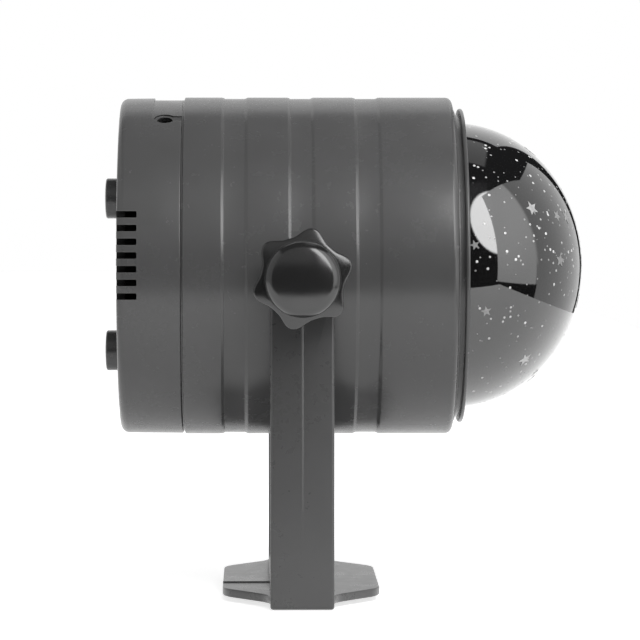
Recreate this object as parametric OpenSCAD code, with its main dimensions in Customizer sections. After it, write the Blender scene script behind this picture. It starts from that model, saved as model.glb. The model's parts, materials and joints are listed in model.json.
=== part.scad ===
// Star night light projector: a barrel lamp with a turning star dome, tilting in a forked stand.
// Sizes are in millimetres. The origin is the middle of the foot's underside, below the tilt axis.
// +X is where the dome points, +Z is up, and the tilt axis runs along Y.
// Values named x_ are places along the barrel, measured forward from the tilt axis.

/* [Barrel] */
// Outer diameter of the barrel
barrel_d = 88; // [86:0.5:92]
// Wall thickness of the barrel
barrel_wall = 2.2; // [1.8:0.1:2.6]
// Distance from the tilt axis back to the seam with the rear cover
barrel_rear = 30; // [28:0.5:34]
// Distance from the tilt axis forward to the barrel's front edge
barrel_front = 39.5; // [38:0.5:42]
// Height of the barrel's own axis above the tilt axis
axis_rise = 2.3; // [0:0.1:4]
// Radius of the barrel's rounded front edge
front_edge_r = 1.5; // [0.5:0.1:1.8]

/* [Bands round the barrel] */
// Number of shallow bands
band_count = 3; // [1:1:3]
// Width of each band
band_w = 6.9; // [5:0.1:8]
// Depth of each band
band_depth = 0.35; // [0.2:0.05:0.6]
// Distance from one band to the next
band_pitch = 17; // [14:0.5:18]
// Distance of the middle band forward of the tilt axis
band_shift = 0.1; // [-1:0.1:2]

/* [Rear cover] */
// Length of the rear cover from its back face to its front edge
cover_len = 16.1; // [15.5:0.1:20]
// Thickness of the rear cover's side wall
cover_wall = 2; // [1.6:0.1:2.4]
// Thickness of the rear cover's back wall
back_wall = 2.2; // [1.8:0.1:3]
// Width of the seam between the barrel and the rear cover
seam_gap = 0.5; // [0.3:0.1:1]
// Step in radius from the barrel down to the rear cover
seam_step = 0.15; // [0.05:0.05:0.4]
// Draft in radius from the cover's front edge to its back
cover_draft = 0.2; // [0:0.05:0.4]
// Radius of the rounded back edge
cover_edge_r = 2; // [1:0.1:2.2]
// Angle of each fixing hole from the top of the cover
keyhole_angle = 29; // [20:1:40]
// Width of the recess round each fixing hole
keyhole_d = 5.65; // [5:0.05:6.5]
// Depth of the shallow pocket between the fixing holes
pocket_depth = 0.4; // [0.2:0.05:0.6]

/* [Vents] */
// Number of vent slots on each side
vent_count = 7; // [3:2:9]
// Distance from one slot to the next
vent_pitch = 3.43; // [3:0.01:3.8]
// Height of a slot
vent_h = 1.65; // [1:0.05:2.2]
// Length of a slot along the side, from the back face
vent_len = 5.2; // [3:0.1:7]
// Height of the middle slot above the barrel's axis
vent_rise = 3.35; // [0:0.05:5]

/* [Buttons] */
// Diameter of each button
button_d = 10.5; // [9:0.1:11.5]
// How far the buttons stand out of the back face
button_proud = 4.4; // [2:0.1:6]
// Distance between the two buttons
button_spacing = 39.8; // [36:0.2:44]
// How far the middle of the two buttons lies below the barrel's axis
button_drop = 2.3; // [0:0.1:4]
// Travel of a button when it is pressed
button_travel = 1; // [0.5:0.1:1.4]

/* [Star dome] */
// Half axis of the dome's ellipse along the barrel
dome_depth = 33.9; // [30:0.1:38]
// Thickness of the dome's wall
dome_wall = 1.6; // [1.2:0.1:2]
// Thickness of the turning flange round the dome
flange_t = 1.1; // [0.8:0.1:1.6]
// Height of the fixed lip beyond the barrel's front edge
lip_h = 0.6; // [0.4:0.1:1.5]
// Open gap between the fixed lip and the turning flange
lip_gap = 1.2; // [0.6:0.1:1.5]

/* [Dome drive] */
// Number of teeth round the inside of the dome's turntable
ring_teeth = 74; // [70:1:76]
// Number of teeth on the motor's pinion
pinion_teeth = 14; // [12:1:16]

/* [Forked stand] */
// Height of the tilt axis above the surface the foot stands on
pivot_h = 82.9; // [82:0.1:95]
// Width of the fork's arms
arm_w = 16; // [14:0.5:18]
// Thickness of the fork's arms
arm_t = 4; // [3:0.1:5]
// Thickness of the strip that joins the arms
strip_t = 3; // [2.5:0.1:4]
// Thickness of the foot's wings
wing_t = 2.15; // [1.6:0.05:3]
// Length of the foot, from wing tip to wing tip
foot_len = 40.2; // [38:0.1:60]
// Distance from an arm's outer face back to the corner of a wing's tip
wing_slope_len = 26.8; // [24:0.1:28]
// Corner radius of the wing tips
wing_corner_r = 12; // [8:0.5:13]
// Radius of the hollow curve from a wing into an arm
wing_flare_r = 14; // [8:0.5:14.5]
// Distance between the two screw holes in the strip
screw_spacing = 30; // [20:1:50]
// Diameter of the screw holes in the strip
screw_hole_d = 4.5; // [3.5:0.1:5]

/* [Clamp knobs] */
// Diameter across the knob's lobes
knob_d = 25.6; // [24:0.1:30]
// Diameter across the hollows between the lobes
knob_hollow_d = 21; // [20.2:0.1:23]
// Number of lobes
knob_lobes = 6; // [5:1:8]
// Thickness of the lobed part
knob_t = 4.6; // [4:0.1:6]
// Diameter of the domed cap
cap_d = 18.9; // [16:0.1:20]
// Height of the domed cap above the lobes
cap_h = 7; // [5:0.1:9]
// Diameter of the threaded stud
stud_d = 5; // [4:0.1:5.4]

/* [Hidden] */

// Smoothness of round parts, and steps in a drawn arc
$fn = 96;
arc_steps = 8;
dome_steps = 30;
lobe_steps = 20;

// Shared clearances: a slip fit, a running fit, a still joint between faces that pass each other,
// a screw in its hole, and the overrun of every cut
slip = 0.2;
run = 0.05;
pass = 0.1;
screw_slack = 0.05;
cut = 1;

// Radii round the barrel's axis, from the outside in
barrel_r = barrel_d / 2;
barrel_in_r = barrel_r - barrel_wall;
cover_front_r = barrel_r - seam_step;
cover_back_r = cover_front_r - cover_draft;
cover_in_r = cover_back_r - cover_wall;
collar_t = 1.8;
collar_r = cover_in_r - slip;
collar_in_r = collar_r - collar_t;
lip_inset = 3;
lip_r = barrel_r - lip_inset;
lip_wall = 2;
bezel_slip = 0.1;
bezel_r = barrel_in_r - bezel_slip;
bezel_bore_r = lip_r - lip_wall;
skirt_run = 0.08;
skirt_r = bezel_bore_r - skirt_run;
flange_over = 0.1;
flange_r = lip_r + flange_over;
dome_inset = 3.7;
dome_r = flange_r - dome_inset;

// Places along the barrel
x_seam = -barrel_rear;
x_cover = x_seam - seam_gap;
x_back = x_cover - cover_len;
x_back_in = x_back + back_wall;
x_front = barrel_front;
x_lip = x_front + lip_h;
x_flange = x_lip + lip_gap;
x_flange_top = x_flange + flange_t;
bezel_depth = 2.3;
x_bezel = x_front - bezel_depth;
axis_z = pivot_h + axis_rise;

// Barrel: the ledge behind the bezel and the thick ring behind the seam
ledge_t = 1;
ledge_w = 0.9;
ledge_r = barrel_in_r - ledge_w;
collar_len = 5.5;
root_len = 4;

// Barrel: how wide the sloping edges of a band are
band_rear_edge = 0.8;
band_front_edge = 1.1;

// Barrel: pivot bosses
boss_r = 9;
boss_out = 1.2;
boss_face = barrel_r + boss_out;
boss_depth = 9.2;
insert_r = 3.6;
insert_len = 8;
insert_groove = 0.4;
insert_groove_w = 1.2;
bore_r = stud_d / 2 + run;

// Friction pads between the bosses and the arms
pad_t = 0.7;
pad_r = boss_r - 0.5 * pad_t;
arm_in = boss_face + pad_t + pass;
arm_out = arm_in + arm_t;

// Rear cover: fixing holes, their pads and the barrel lugs below them
keyhole_back = 4.3;
x_keyhole = x_cover - keyhole_back;
keyhole_rim = 0.8;
keyhole_in_r = keyhole_d / 2 - keyhole_rim;
keyhole_recess = 0.9;
channel_w = 4;
key_pad_w = 8;
key_pad_in = 1.65;
key_pad_r = cover_in_r - key_pad_in;
key_seat = 0.8;
lug_w = 7;
lug_t = 4.8;
lug_r = key_pad_r - slip;
lug_tail = 3.2;
pocket_len = 7.4;
vent_depth = 4.8;

// Rear cover: the upright walls behind the vents, which keep light in and fingers out
shield_t = 1.2;
shield_len = 3.6;
shield_gap = 3.4;
shield_y = cover_back_r - vent_depth - shield_gap;
shield_h = vent_count * vent_pitch + 2 * shield_t;

// Small screws: shank and head radii and head heights
fix_shank_r = 1.15;
fix_head_r = 1.8;
fix_head_h = 1.1;
fix_len = 6;
board_shank_r = 1;
board_head_r = 1.9;
board_head_h = 1.2;
motor_shank_r = 0.8;
motor_head_r = 1.4;
motor_head_h = 0.8;
drive_w = 0.7;
drive_depth = 0.6;

// Control board on posts inside the rear cover
board_gap = 7.8;
board_t = 1.6;
board_w = 24;
board_end = 7.1;
board_h = button_spacing + 2 * board_end;
board_corner_r = 2;
board_z = axis_z - button_drop;
x_board = x_back_in + board_gap;
x_board_top = x_board + board_t;
post_r = 2.5;
post_y = 8.5;
post_z = button_spacing / 2 + 4.6;
post_hole = 5;

// Buttons, their plungers and switches
button_r = button_d / 2;
button_edge_r = 0.5;
button_crown = 0.3;
button_gap = 0.25;
button_flange = 1.1;
button_flange_t = 1;
switch_w = 6.2;
switch_h = 3.5;
switch_collar_r = 2.5;
switch_collar_h = 0.5;
plunger_r = 1.7;
plunger_len = 3;
plunger_out = 0.6 + button_travel;
x_switch = x_board - switch_h;
x_plunger = x_switch - switch_collar_h - plunger_out;
stem_r = 2.2;

// Power inlet
socket_w = 9;
socket_h = 3.4;
socket_wall = 0.4;
socket_depth = 6;
socket_sunk = 1;
socket_corner_r = 1;
tongue_w = 6.4;
tongue_t = 0.7;
inlet_gap = 0.3;

// Turntable and retaining ring
step_over = 0.4;
step_r = bezel_bore_r + step_over;
step_gap = pass;
skirt_back = 1.6;
x_skirt = x_bezel - skirt_back;
ring_w = 4;
ring_clip_t = 1.2;
ring_clip_step = 0.7;
ring_clip_r = ledge_r - 0.5;
dome_seat = 0.8;
flange_edge = 0.35;
x_dome_mid = x_flange - 1.2;
dome_slip = 0.1;

// Gears, whose module follows from the room inside the turntable's skirt
pressure = 25;
ring_rim = 5.62;
ring_pitch_r = skirt_r - ring_rim;
gear_module = 2 * ring_pitch_r / ring_teeth;
pinion_pitch_r = gear_module * pinion_teeth / 2;
gear_centres = ring_pitch_r - pinion_pitch_r;
ring_tip_share = 0.6;
ring_root_share = 1;
pinion_tip_share = 0.8;
pinion_root_share = 1;
backlash = 0.12;
pinion_tip_r = pinion_pitch_r + pinion_tip_share * gear_module;
pinion_inset = 0.4;
pinion_w = 3.2;
x_pinion = x_skirt + pinion_inset;

// Chassis plate behind the lamp
chassis_back = 12.5;
chassis_t = 2;
x_chassis = x_front - chassis_back;
x_chassis_top = x_chassis + chassis_t;
chassis_r = ledge_r - 0.3;
chassis_lug_r = 3.4;
chassis_lug_len = 8;
chassis_lug_in = 5.2;
chassis_lug_at = barrel_in_r - chassis_lug_in;
chassis_rib_w = 3;
chassis_window_r = 4;
window_y = 24;
window_z = 8;

// Motor and gearbox
motor_w = 12;
motor_t = 10;
motor_len = 15;
gearbox_len = 9;
x_gearbox = x_chassis - gearbox_len;
x_motor = x_gearbox - motor_len;
motor_boss_r = 2.4;
motor_boss_h = 0.8;
motor_screw_y = 4.5;
shaft_r = 1.5;
shaft_flat = 0.5;
shaft_in = 5;
shaft_end = 0.2;
plate_t = 0.8;

// Lamp: heat sink, board, light sources and lens
sink_gap = 2;
sink_r = gear_centres - pinion_tip_r - sink_gap;
sink_h = 7.9;
sink_plate_t = 1.6;
sink_core_share = 0.445;
sink_core_r = sink_r * sink_core_share;
fin_count = 18;
fin_t = 1;
x_sink_top = x_chassis_top + sink_h;
lamp_t = 1.6;
x_lamp = x_sink_top + lamp_t;
lamp_screw_share = 0.78;
lamp_screw_at = sink_r * lamp_screw_share;
lamp_boss_r = 2.8;
lamp_boss_len = 4;
lamp_screw_tail = 3;
led_share = 0.195;
led_w = sink_r * led_share;
led_t = 1.4;
led_at_share = 0.16;
led_at = sink_r * led_at_share;
lens_share = 0.5;
lens_r = sink_r * lens_share;
lens_wall = 1.4;
lens_foot = 1;
lens_foot_t = 1;

// Leads between the boards and the motor
lead_r = 0.7;
lead_gap = 0.05;
lead_sides = 10;

// Stand: the pad let into the strip, the heels under the arms, edges and curves
foot_proud = 1.2;
heel_gap = 0.2;
pad_in = 0.5;
pad_inset = 1.6;
pad_end = 0.6;
pad_corner_r = 1;
fork_edge_r = 0.8;
fork_foot_r = 1.2;
fork_inner_r = 3;
arm_hole_r = stud_d / 2 + pass;
arm_boss_r = 9;
arm_boss_h = 0.6;
ridge_w = 0.7;
ridge_h = 0.2;
ridge_len = 57;
ridge_base = 1.5;
flare_inset = 2;
wing_rib_w = 0.5;
wing_rib_h = 0.35;
wing_rib_y = -14.6;
sink_cone_r = 3.9;
sink_cone_h = 1.2;
pad_hole_r = 3.4;

// Knobs, studs and washers, as distances outward from the middle
washer_t = 0.8;
washer_r = 7.5;
washer_at = arm_out + arm_boss_h + pass;
knob_at = washer_at + washer_t + run;
knob_face_slope = 12;
knob_turn = 18;
knob_hollow_r = knob_hollow_d / 2;
lobe_sharpness = 1.5;
cap_root = 0.5;
cap_edge_r = 3;
crown_r = 30;
stud_seat = 8;
stud_tip = 1.5;
stud_edge = 0.5;

function arc(cx, cy, r, from, to, steps = arc_steps) =
    [for (i = [0 : steps]) let (a = from + (to - from) * i / steps) [cx + r * cos(a), cy + r * sin(a)]];

function reversed(points) = [for (i = [len(points) - 1 : -1 : 0]) points[i]];

module along_barrel(x = 0) {
    translate([x, 0, axis_z]) rotate([0, 90, 0]) children();
}

// Puts a child at the tilt axis with its own +Z pointing outward on one side
module outward(side, at = 0) {
    translate([0, side * at, pivot_h]) rotate([-side * 90, 0, 0]) children();
}

module both_sides() {
    for (side = [-1, 1]) outward(side) children();
}

module turned(profile) {
    rotate_extrude() polygon(profile);
}

module rounded_square(w, h, r) {
    square([w - 2 * r, h], center = true);
    square([w, h - 2 * r], center = true);
    for (x = [-1, 1], y = [-1, 1]) translate([x * (w / 2 - r), y * (h / 2 - r)]) circle(r);
}

// A pan head screw whose head's underside lies at the origin, with the shank pointing down
module pan_screw(shank_r, head_r, head_h, length) {
    difference() {
        union() {
            turned(concat([[0, 0], [head_r, 0]],
                          arc(head_r - head_h / 2, head_h / 2, head_h / 2, 0, 90), [[0, head_h]]));
            translate([0, 0, -length]) cylinder(r = shank_r, h = length + head_h / 2);
        }
        for (a = [0, 90]) rotate([0, 0, a])
            translate([0, 0, head_h]) cube([head_r + drive_w, drive_w, 2 * drive_depth], center = true);
    }
}

// Fork and foot

function foot_quarter() =
    let (corner = [foot_len / 2 - wing_corner_r, arm_out - wing_slope_len],
         flare = [arm_w / 2 + wing_flare_r, arm_out - flare_inset],
         way = flare - corner,
         lean = atan2(way[1], way[0]) - acos((wing_corner_r + wing_flare_r) / norm(way)))
    concat(arc(corner[0], corner[1], wing_corner_r, 0, lean),
           arc(flare[0], flare[1], wing_flare_r, 180 + lean, 180));

function foot_outline() =
    let (quarter = foot_quarter())
    concat(quarter,
           reversed([for (p = quarter) [-p[0], p[1]]]),
           [for (p = quarter) [-p[0], -p[1]]],
           reversed([for (p = quarter) [p[0], -p[1]]]));

// The pad's outline, and that of its recess a little wider all round
module pad_plan(wider = 0) {
    rounded_square(arm_w - 2 * (pad_inset - wider), 2 * (arm_in - pad_end + wider), pad_corner_r);
}

module fork_front_view() {
    top = pivot_h + arm_w / 2;
    difference() {
        union() {
            translate([-arm_out, heel_gap + fork_foot_r]) square([2 * arm_out, top]);
            translate([-arm_out + fork_foot_r, heel_gap])
                square([2 * (arm_out - fork_foot_r), 2 * fork_foot_r]);
            for (side = [-1, 1])
                translate([side * (arm_out - fork_foot_r), heel_gap + fork_foot_r]) circle(fork_foot_r);
        }
        translate([-arm_in, heel_gap - cut]) square([2 * arm_in, foot_proud - heel_gap + cut]);
        translate([-arm_in, foot_proud + strip_t + fork_inner_r]) square([2 * arm_in, top]);
        translate([-arm_in + fork_inner_r, foot_proud + strip_t])
            square([2 * (arm_in - fork_inner_r), 2 * fork_inner_r]);
        for (side = [-1, 1])
            translate([side * (arm_in - fork_inner_r), foot_proud + strip_t + fork_inner_r])
                circle(fork_inner_r);
    }
}

module fork_side_view() {
    translate([-arm_w / 2, heel_gap]) square([arm_w, pivot_h - heel_gap]);
    translate([0, pivot_h]) circle(arm_w / 2);
}

module fork() {
    tall = pivot_h + arm_w;
    intersection() {
        rotate([90, 0, 90]) linear_extrude(arm_w + cut, center = true) fork_front_view();
        rotate([90, 0, 0]) linear_extrude(2 * arm_out + cut, center = true) fork_side_view();
        linear_extrude(tall) rounded_square(arm_w, 2 * arm_out, fork_edge_r);
    }
}

// The fine ridge down the outside of an arm
module arm_ridge() {
    half = ridge_w / 2;
    translate([0, -arm_out, pivot_h - ridge_len]) linear_extrude(ridge_len)
        polygon([[-half, ridge_base], [-half, 0], [0, -ridge_h], [half, 0], [half, ridge_base]]);
}

// The low rib across the wing under the rear of the barrel
module wing_rib() {
    translate([-foot_len / 2, wing_rib_y, foot_proud + wing_t / 2])
        cube([(foot_len - arm_w) / 2 + cut, wing_rib_w, wing_t / 2 + wing_rib_h]);
}

module stand() {
    color("dimgray") difference() {
        union() {
            fork();
            translate([0, 0, foot_proud]) linear_extrude(wing_t) polygon(foot_outline());
            arm_ridge();
            mirror([0, 1, 0]) arm_ridge();
            wing_rib();
            both_sides() translate([0, 0, arm_out - arm_t / 2])
                cylinder(r = arm_boss_r, h = arm_t / 2 + arm_boss_h);
        }
        both_sides() translate([0, 0, arm_in - cut]) cylinder(r = arm_hole_r, h = arm_t + 3 * cut);
        translate([0, 0, foot_proud - cut]) linear_extrude(cut + pad_in) pad_plan(pass);
        for (side = [-1, 1]) translate([0, side * screw_spacing / 2, foot_proud]) {
            cylinder(d = screw_hole_d, h = strip_t + cut);
            translate([0, 0, strip_t - sink_cone_h])
                cylinder(r1 = screw_hole_d / 2, r2 = sink_cone_r, h = sink_cone_h);
        }
    }
}

module foot_pad() {
    color("black") difference() {
        linear_extrude(foot_proud + pad_in) pad_plan();
        for (side = [-1, 1])
            translate([0, side * screw_spacing / 2, -cut]) cylinder(r = pad_hole_r, h = 3 * cut);
    }
}

// Barrel and rear cover

// One band as seen in the wall: a rear edge, a flat floor and a softer front edge
function band(x) =
    [[barrel_r, x - band_w / 2], [barrel_r - band_depth, x - band_w / 2 + band_rear_edge],
     [barrel_r - band_depth, x + band_w / 2 - band_front_edge], [barrel_r, x + band_w / 2]];

function bands() =
    [for (i = [0 : band_count - 1]) each band(band_shift + (i - (band_count - 1) / 2) * band_pitch)];

module barrel_shell() {
    x_collar = x_seam - collar_len;
    turned(concat(
        [[collar_in_r, x_collar], [collar_r, x_collar], [collar_r, x_seam], [barrel_r, x_seam]],
        bands(),
        arc(barrel_r - front_edge_r, x_front - front_edge_r, front_edge_r, 0, 90),
        [[barrel_in_r, x_front], [barrel_in_r, x_bezel], [ledge_r, x_bezel],
         [ledge_r, x_bezel - ledge_t], [barrel_in_r, x_bezel - ledge_t - ledge_w],
         [barrel_in_r, x_seam + root_len + barrel_wall], [collar_in_r, x_seam + root_len]]));
}

module chassis_places() {
    for (a = [180, -60, 60]) rotate([0, 0, a]) translate([chassis_lug_at, 0, 0]) children();
}

module chassis_lug() {
    translate([0, 0, -chassis_lug_len]) {
        cylinder(r = chassis_lug_r, h = chassis_lug_len);
        translate([0, -chassis_rib_w / 2, 0])
            cube([chassis_lug_in + barrel_wall / 2, chassis_rib_w, chassis_lug_len]);
    }
}

module at_keyholes() {
    for (side = [-1, 1])
        translate([0, 0, axis_z]) rotate([side * keyhole_angle, 0, 0]) translate([x_keyhole, 0, 0])
            children();
}

module barrel() {
    notch_w = key_pad_w + 4 * slip;
    lug_front = x_seam + root_len - x_keyhole;
    color("dimgray") difference() {
        union() {
            along_barrel() barrel_shell();
            both_sides() translate([0, 0, boss_face - boss_depth]) cylinder(r = boss_r, h = boss_depth);
            along_barrel(x_chassis) chassis_places() chassis_lug();
            at_keyholes() translate([-lug_tail, -lug_w / 2, lug_r - lug_t])
                cube([lug_tail + lug_front, lug_w, lug_t]);
        }
        both_sides() translate([0, 0, boss_face - insert_len])
            cylinder(r = insert_r + screw_slack, h = insert_len + cut);
        along_barrel(x_chassis - chassis_lug_len + cut) chassis_places()
            cylinder(r = board_shank_r + screw_slack, h = chassis_lug_len);
        at_keyholes() {
            translate([-key_pad_w, -notch_w / 2, lug_r]) cube([key_pad_w + keyhole_back, notch_w, lug_t]);
            translate([0, 0, lug_r - lug_t - cut])
                cylinder(r = fix_shank_r + screw_slack, h = lug_t + 2 * cut);
        }
    }
}

module cover_shell() {
    turned(concat(
        [[0, x_back]],
        arc(cover_back_r - cover_edge_r, x_back + cover_edge_r, cover_edge_r, -90, 0),
        [[cover_front_r, x_cover], [cover_in_r, x_cover], [cover_in_r, x_back_in], [0, x_back_in]]));
}

module keyhole_cuts() {
    depth_floor = cover_back_r - keyhole_recess;
    translate([0, 0, depth_floor]) cylinder(d = keyhole_d, h = keyhole_recess + cut);
    translate([0, -channel_w / 2, depth_floor]) cube([keyhole_back + cut, channel_w, keyhole_recess + cut]);
    translate([0, 0, key_pad_r + key_seat]) cylinder(r = keyhole_in_r, h = cover_wall + key_pad_in);
    translate([0, 0, key_pad_r - cut])
        cylinder(r = fix_shank_r + screw_slack, h = cover_wall + key_pad_in);
}

// The shallow pocket over the top of the cover, between the two fixing holes
module pocket_cut() {
    reach = 2 * barrel_r;
    intersection() {
        along_barrel(x_cover - pocket_len) difference() {
            cylinder(r = barrel_r + cut, h = pocket_len + cut);
            translate([0, 0, -cut]) cylinder(r = cover_back_r - pocket_depth, h = pocket_len + 3 * cut);
        }
        translate([x_cover - pocket_len - cut, 0, axis_z]) rotate([90, 0, 90])
            linear_extrude(pocket_len + 3 * cut)
                polygon([[0, 0], reach * [sin(keyhole_angle), cos(keyhole_angle)], [0, reach],
                         reach * [-sin(keyhole_angle), cos(keyhole_angle)]]);
    }
}

module vent_cuts() {
    for (side = [0, 1], i = [0 : vent_count - 1])
        mirror([0, side, 0])
            translate([x_back - cut, cover_back_r - vent_depth,
                       axis_z + vent_rise + (i - (vent_count - 1) / 2) * vent_pitch - vent_h / 2])
                cube([vent_len + cut, vent_depth + cut, vent_h]);
}

module vent_shields() {
    for (side = [-1, 1])
        translate([x_back_in - back_wall / 2, side * shield_y - shield_t / 2,
                   axis_z + vent_rise - shield_h / 2])
            cube([back_wall / 2 + shield_len, shield_t, shield_h]);
}

module at_board_posts() {
    for (y = [-1, 1], z = [-1, 1]) translate([0, y * post_y, board_z + z * post_z]) children();
}

module at_buttons() {
    for (side = [-1, 1]) at_button(side) children();
}

module at_button(side) {
    translate([0, 0, board_z + side * button_spacing / 2]) rotate([0, 90, 0]) children();
}

module rear_cover() {
    color("dimgray") difference() {
        union() {
            along_barrel() cover_shell();
            at_board_posts() translate([x_back_in - back_wall / 2, 0, 0]) rotate([0, 90, 0])
                cylinder(r = post_r, h = board_gap + back_wall / 2);
            at_keyholes() translate([-key_pad_w / 2, -key_pad_w / 2, key_pad_r])
                cube([key_pad_w / 2 + keyhole_back, key_pad_w, key_pad_in + cover_wall / 2]);
            vent_shields();
        }
        at_buttons() translate([0, 0, x_back - cut])
            cylinder(r = button_r + button_gap, h = back_wall + 2 * cut);
        at_board_posts() translate([x_board - post_hole, 0, 0]) rotate([0, 90, 0])
            cylinder(r = board_shank_r + screw_slack, h = post_hole + cut);
        translate([x_back - cut, 0, board_z]) rotate([90, 0, 90])
            linear_extrude(back_wall + 2 * cut)
                rounded_square(socket_w + 2 * inlet_gap, socket_h + 2 * inlet_gap, socket_corner_r);
        at_keyholes() keyhole_cuts();
        pocket_cut();
        vent_cuts();
    }
}

module cover_screws() {
    color("silver") at_keyholes() translate([0, 0, key_pad_r + key_seat])
        pan_screw(fix_shank_r, fix_head_r, fix_head_h, fix_len);
}

module front_bezel() {
    color("dimgray") along_barrel() turned([
        [bezel_bore_r, x_bezel], [bezel_r, x_bezel], [bezel_r, x_front - slip],
        [lip_r, x_front - slip], [lip_r, x_lip - slip], [lip_r - slip, x_lip], [bezel_bore_r, x_lip]]);
}

// Pivot inserts and friction pads

module pivot_inserts() {
    waist = insert_r - insert_groove;
    middle = insert_len / 2;
    color("goldenrod") both_sides() translate([0, 0, boss_face - insert_len]) turned([
        [bore_r, 0], [insert_r, 0], [insert_r, middle - insert_groove_w], [waist, middle - insert_groove_w],
        [waist, middle + insert_groove_w], [insert_r, middle + insert_groove_w],
        [insert_r, insert_len], [bore_r, insert_len]]);
}

module friction_pads() {
    color("black") both_sides() translate([0, 0, boss_face]) difference() {
        cylinder(r = pad_r, h = pad_t);
        translate([0, 0, -cut]) cylinder(r = arm_hole_r, h = pad_t + 2 * cut);
    }
}

// Controls and power inlet

module control_board() {
    color("darkgreen") difference() {
        translate([x_board, 0, board_z]) rotate([90, 0, 90]) linear_extrude(board_t)
            rounded_square(board_w, board_h, board_corner_r);
        at_board_posts() translate([x_board - cut, 0, 0]) rotate([0, 90, 0])
            cylinder(r = board_shank_r + screw_slack, h = board_t + 2 * cut);
    }
}

// Plugs for the two leads, the driver chip, and the smoothing capacitors
plug_l = 6;
plug_t = 4;
plug_h = 4.4;
plug_y = 6;
plug_z = -4;
chip_w = 5;
chip_l = 6.2;
chip_h = 1.6;
chip_z = 7;
can_r = 2.5;
can_h = 7;
can_y = 5.5;
can_z = 14;

module board_components() {
    color("whitesmoke") for (side = [-1, 1])
        translate([x_board_top, side * plug_y - plug_l / 2, board_z + plug_z - plug_t / 2])
            cube([plug_h, plug_l, plug_t]);
    color("black") translate([x_board_top, -chip_w / 2, board_z + chip_z - chip_l / 2])
        cube([chip_h, chip_w, chip_l]);
    color("navy") for (side = [-1, 1])
        translate([x_board_top, side * can_y, board_z + side * can_z]) rotate([0, 90, 0])
            cylinder(r = can_r, h = can_h);
}

module switch_bases() {
    color("black") at_buttons() difference() {
        union() {
            translate([-switch_w / 2, -switch_w / 2, x_switch]) cube([switch_w, switch_w, switch_h]);
            translate([0, 0, x_switch - switch_collar_h])
                cylinder(r = switch_collar_r, h = switch_h / 2 + switch_collar_h);
        }
        translate([0, 0, x_switch - switch_collar_h - cut])
            cylinder(r = plunger_r + pass, h = plunger_len + button_travel + cut - plunger_out + pass);
    }
}

module plunger(side) {
    color("ivory") at_button(side) translate([0, 0, x_plunger]) cylinder(r = plunger_r, h = plunger_len);
}

module push_button(side) {
    x_tip = x_back - button_proud;
    x_rim = x_back_in + pass;
    color("dimgray") at_button(side) turned(concat(
        [[0, x_tip], [button_r / 2, x_tip + button_crown / 4]],
        arc(button_r - button_edge_r, x_tip + button_crown + button_edge_r, button_edge_r, -80, 0),
        [[button_r, x_rim], [button_r + button_flange, x_rim],
         [button_r + button_flange, x_rim + button_flange_t], [stem_r, x_rim + button_flange_t],
         [stem_r, x_plunger], [0, x_plunger]]));
}

module power_socket() {
    length = x_board - x_back - socket_sunk;
    color("silver") translate([x_back + socket_sunk, 0, board_z]) rotate([90, 0, 90]) {
        difference() {
            linear_extrude(length) rounded_square(socket_w, socket_h, socket_corner_r);
            translate([0, 0, -cut]) linear_extrude(socket_depth + cut)
                rounded_square(socket_w - 2 * socket_wall, socket_h - 2 * socket_wall,
                               socket_corner_r - socket_wall);
        }
        translate([-tongue_w / 2, -tongue_t / 2, socket_wall])
            cube([tongue_w, tongue_t, socket_depth]);
    }
}

module board_screws() {
    color("silver") at_board_posts() translate([x_board_top, 0, 0]) rotate([0, 90, 0])
        pan_screw(board_shank_r, board_head_r, board_head_h, post_hole);
}

// Chassis, motor and gearbox

module lamp_places() {
    for (a = [60, 180, 300]) rotate([0, 0, a]) translate([lamp_screw_at, 0, 0]) children();
}

module chassis_plate() {
    color("gray") along_barrel(x_chassis) difference() {
        union() {
            cylinder(r = chassis_r, h = chassis_t);
            translate([0, 0, -lamp_boss_len]) lamp_places() cylinder(r = lamp_boss_r, h = lamp_boss_len + cut);
        }
        chassis_places() translate([0, 0, -cut])
            cylinder(r = board_shank_r + screw_slack, h = chassis_t + 2 * cut);
        translate([0, 0, -lamp_boss_len - cut]) lamp_places()
            cylinder(r = board_shank_r + screw_slack, h = chassis_t + lamp_boss_len + 2 * cut);
        translate([gear_centres, 0, -cut]) cylinder(r = shaft_r + slip, h = chassis_t + 2 * cut);
        for (side = [-1, 1]) {
            translate([gear_centres, side * motor_screw_y, -cut])
                cylinder(r = motor_shank_r + screw_slack, h = chassis_t + 2 * cut);
            translate([-window_z, side * window_y, -cut])
                cylinder(r = chassis_window_r, h = chassis_t + 2 * cut);
        }
    }
}

module chassis_screws() {
    color("silver") along_barrel(x_chassis_top) chassis_places()
        pan_screw(board_shank_r, board_head_r, board_head_h, chassis_lug_len);
}

module motor_can() {
    color("silver") along_barrel(x_motor) translate([gear_centres, 0, 0]) {
        intersection() {
            cylinder(d = motor_w, h = motor_len);
            translate([-motor_t / 2, -motor_w / 2, 0]) cube([motor_t, motor_w, motor_len]);
        }
        translate([0, 0, -motor_boss_h]) cylinder(r = motor_boss_r, h = motor_boss_h + plate_t);
    }
}

module gearbox() {
    color("goldenrod") along_barrel(x_gearbox) translate([gear_centres, 0, 0]) difference() {
        union() {
            for (z = [0, gearbox_len - plate_t])
                translate([-motor_t / 2, -motor_w / 2, z]) cube([motor_t, motor_w, plate_t]);
            translate([-motor_t / 2 + plate_t, -motor_w / 2 + plate_t, 0])
                cube([motor_t - 2 * plate_t, motor_w - 2 * plate_t, gearbox_len]);
        }
        translate([0, 0, gearbox_len - shaft_in]) cylinder(r = shaft_r + run, h = shaft_in + cut);
        for (side = [-1, 1]) translate([0, side * motor_screw_y, gearbox_len - shaft_in])
            cylinder(r = motor_shank_r + screw_slack, h = shaft_in + cut);
    }
}

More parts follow.
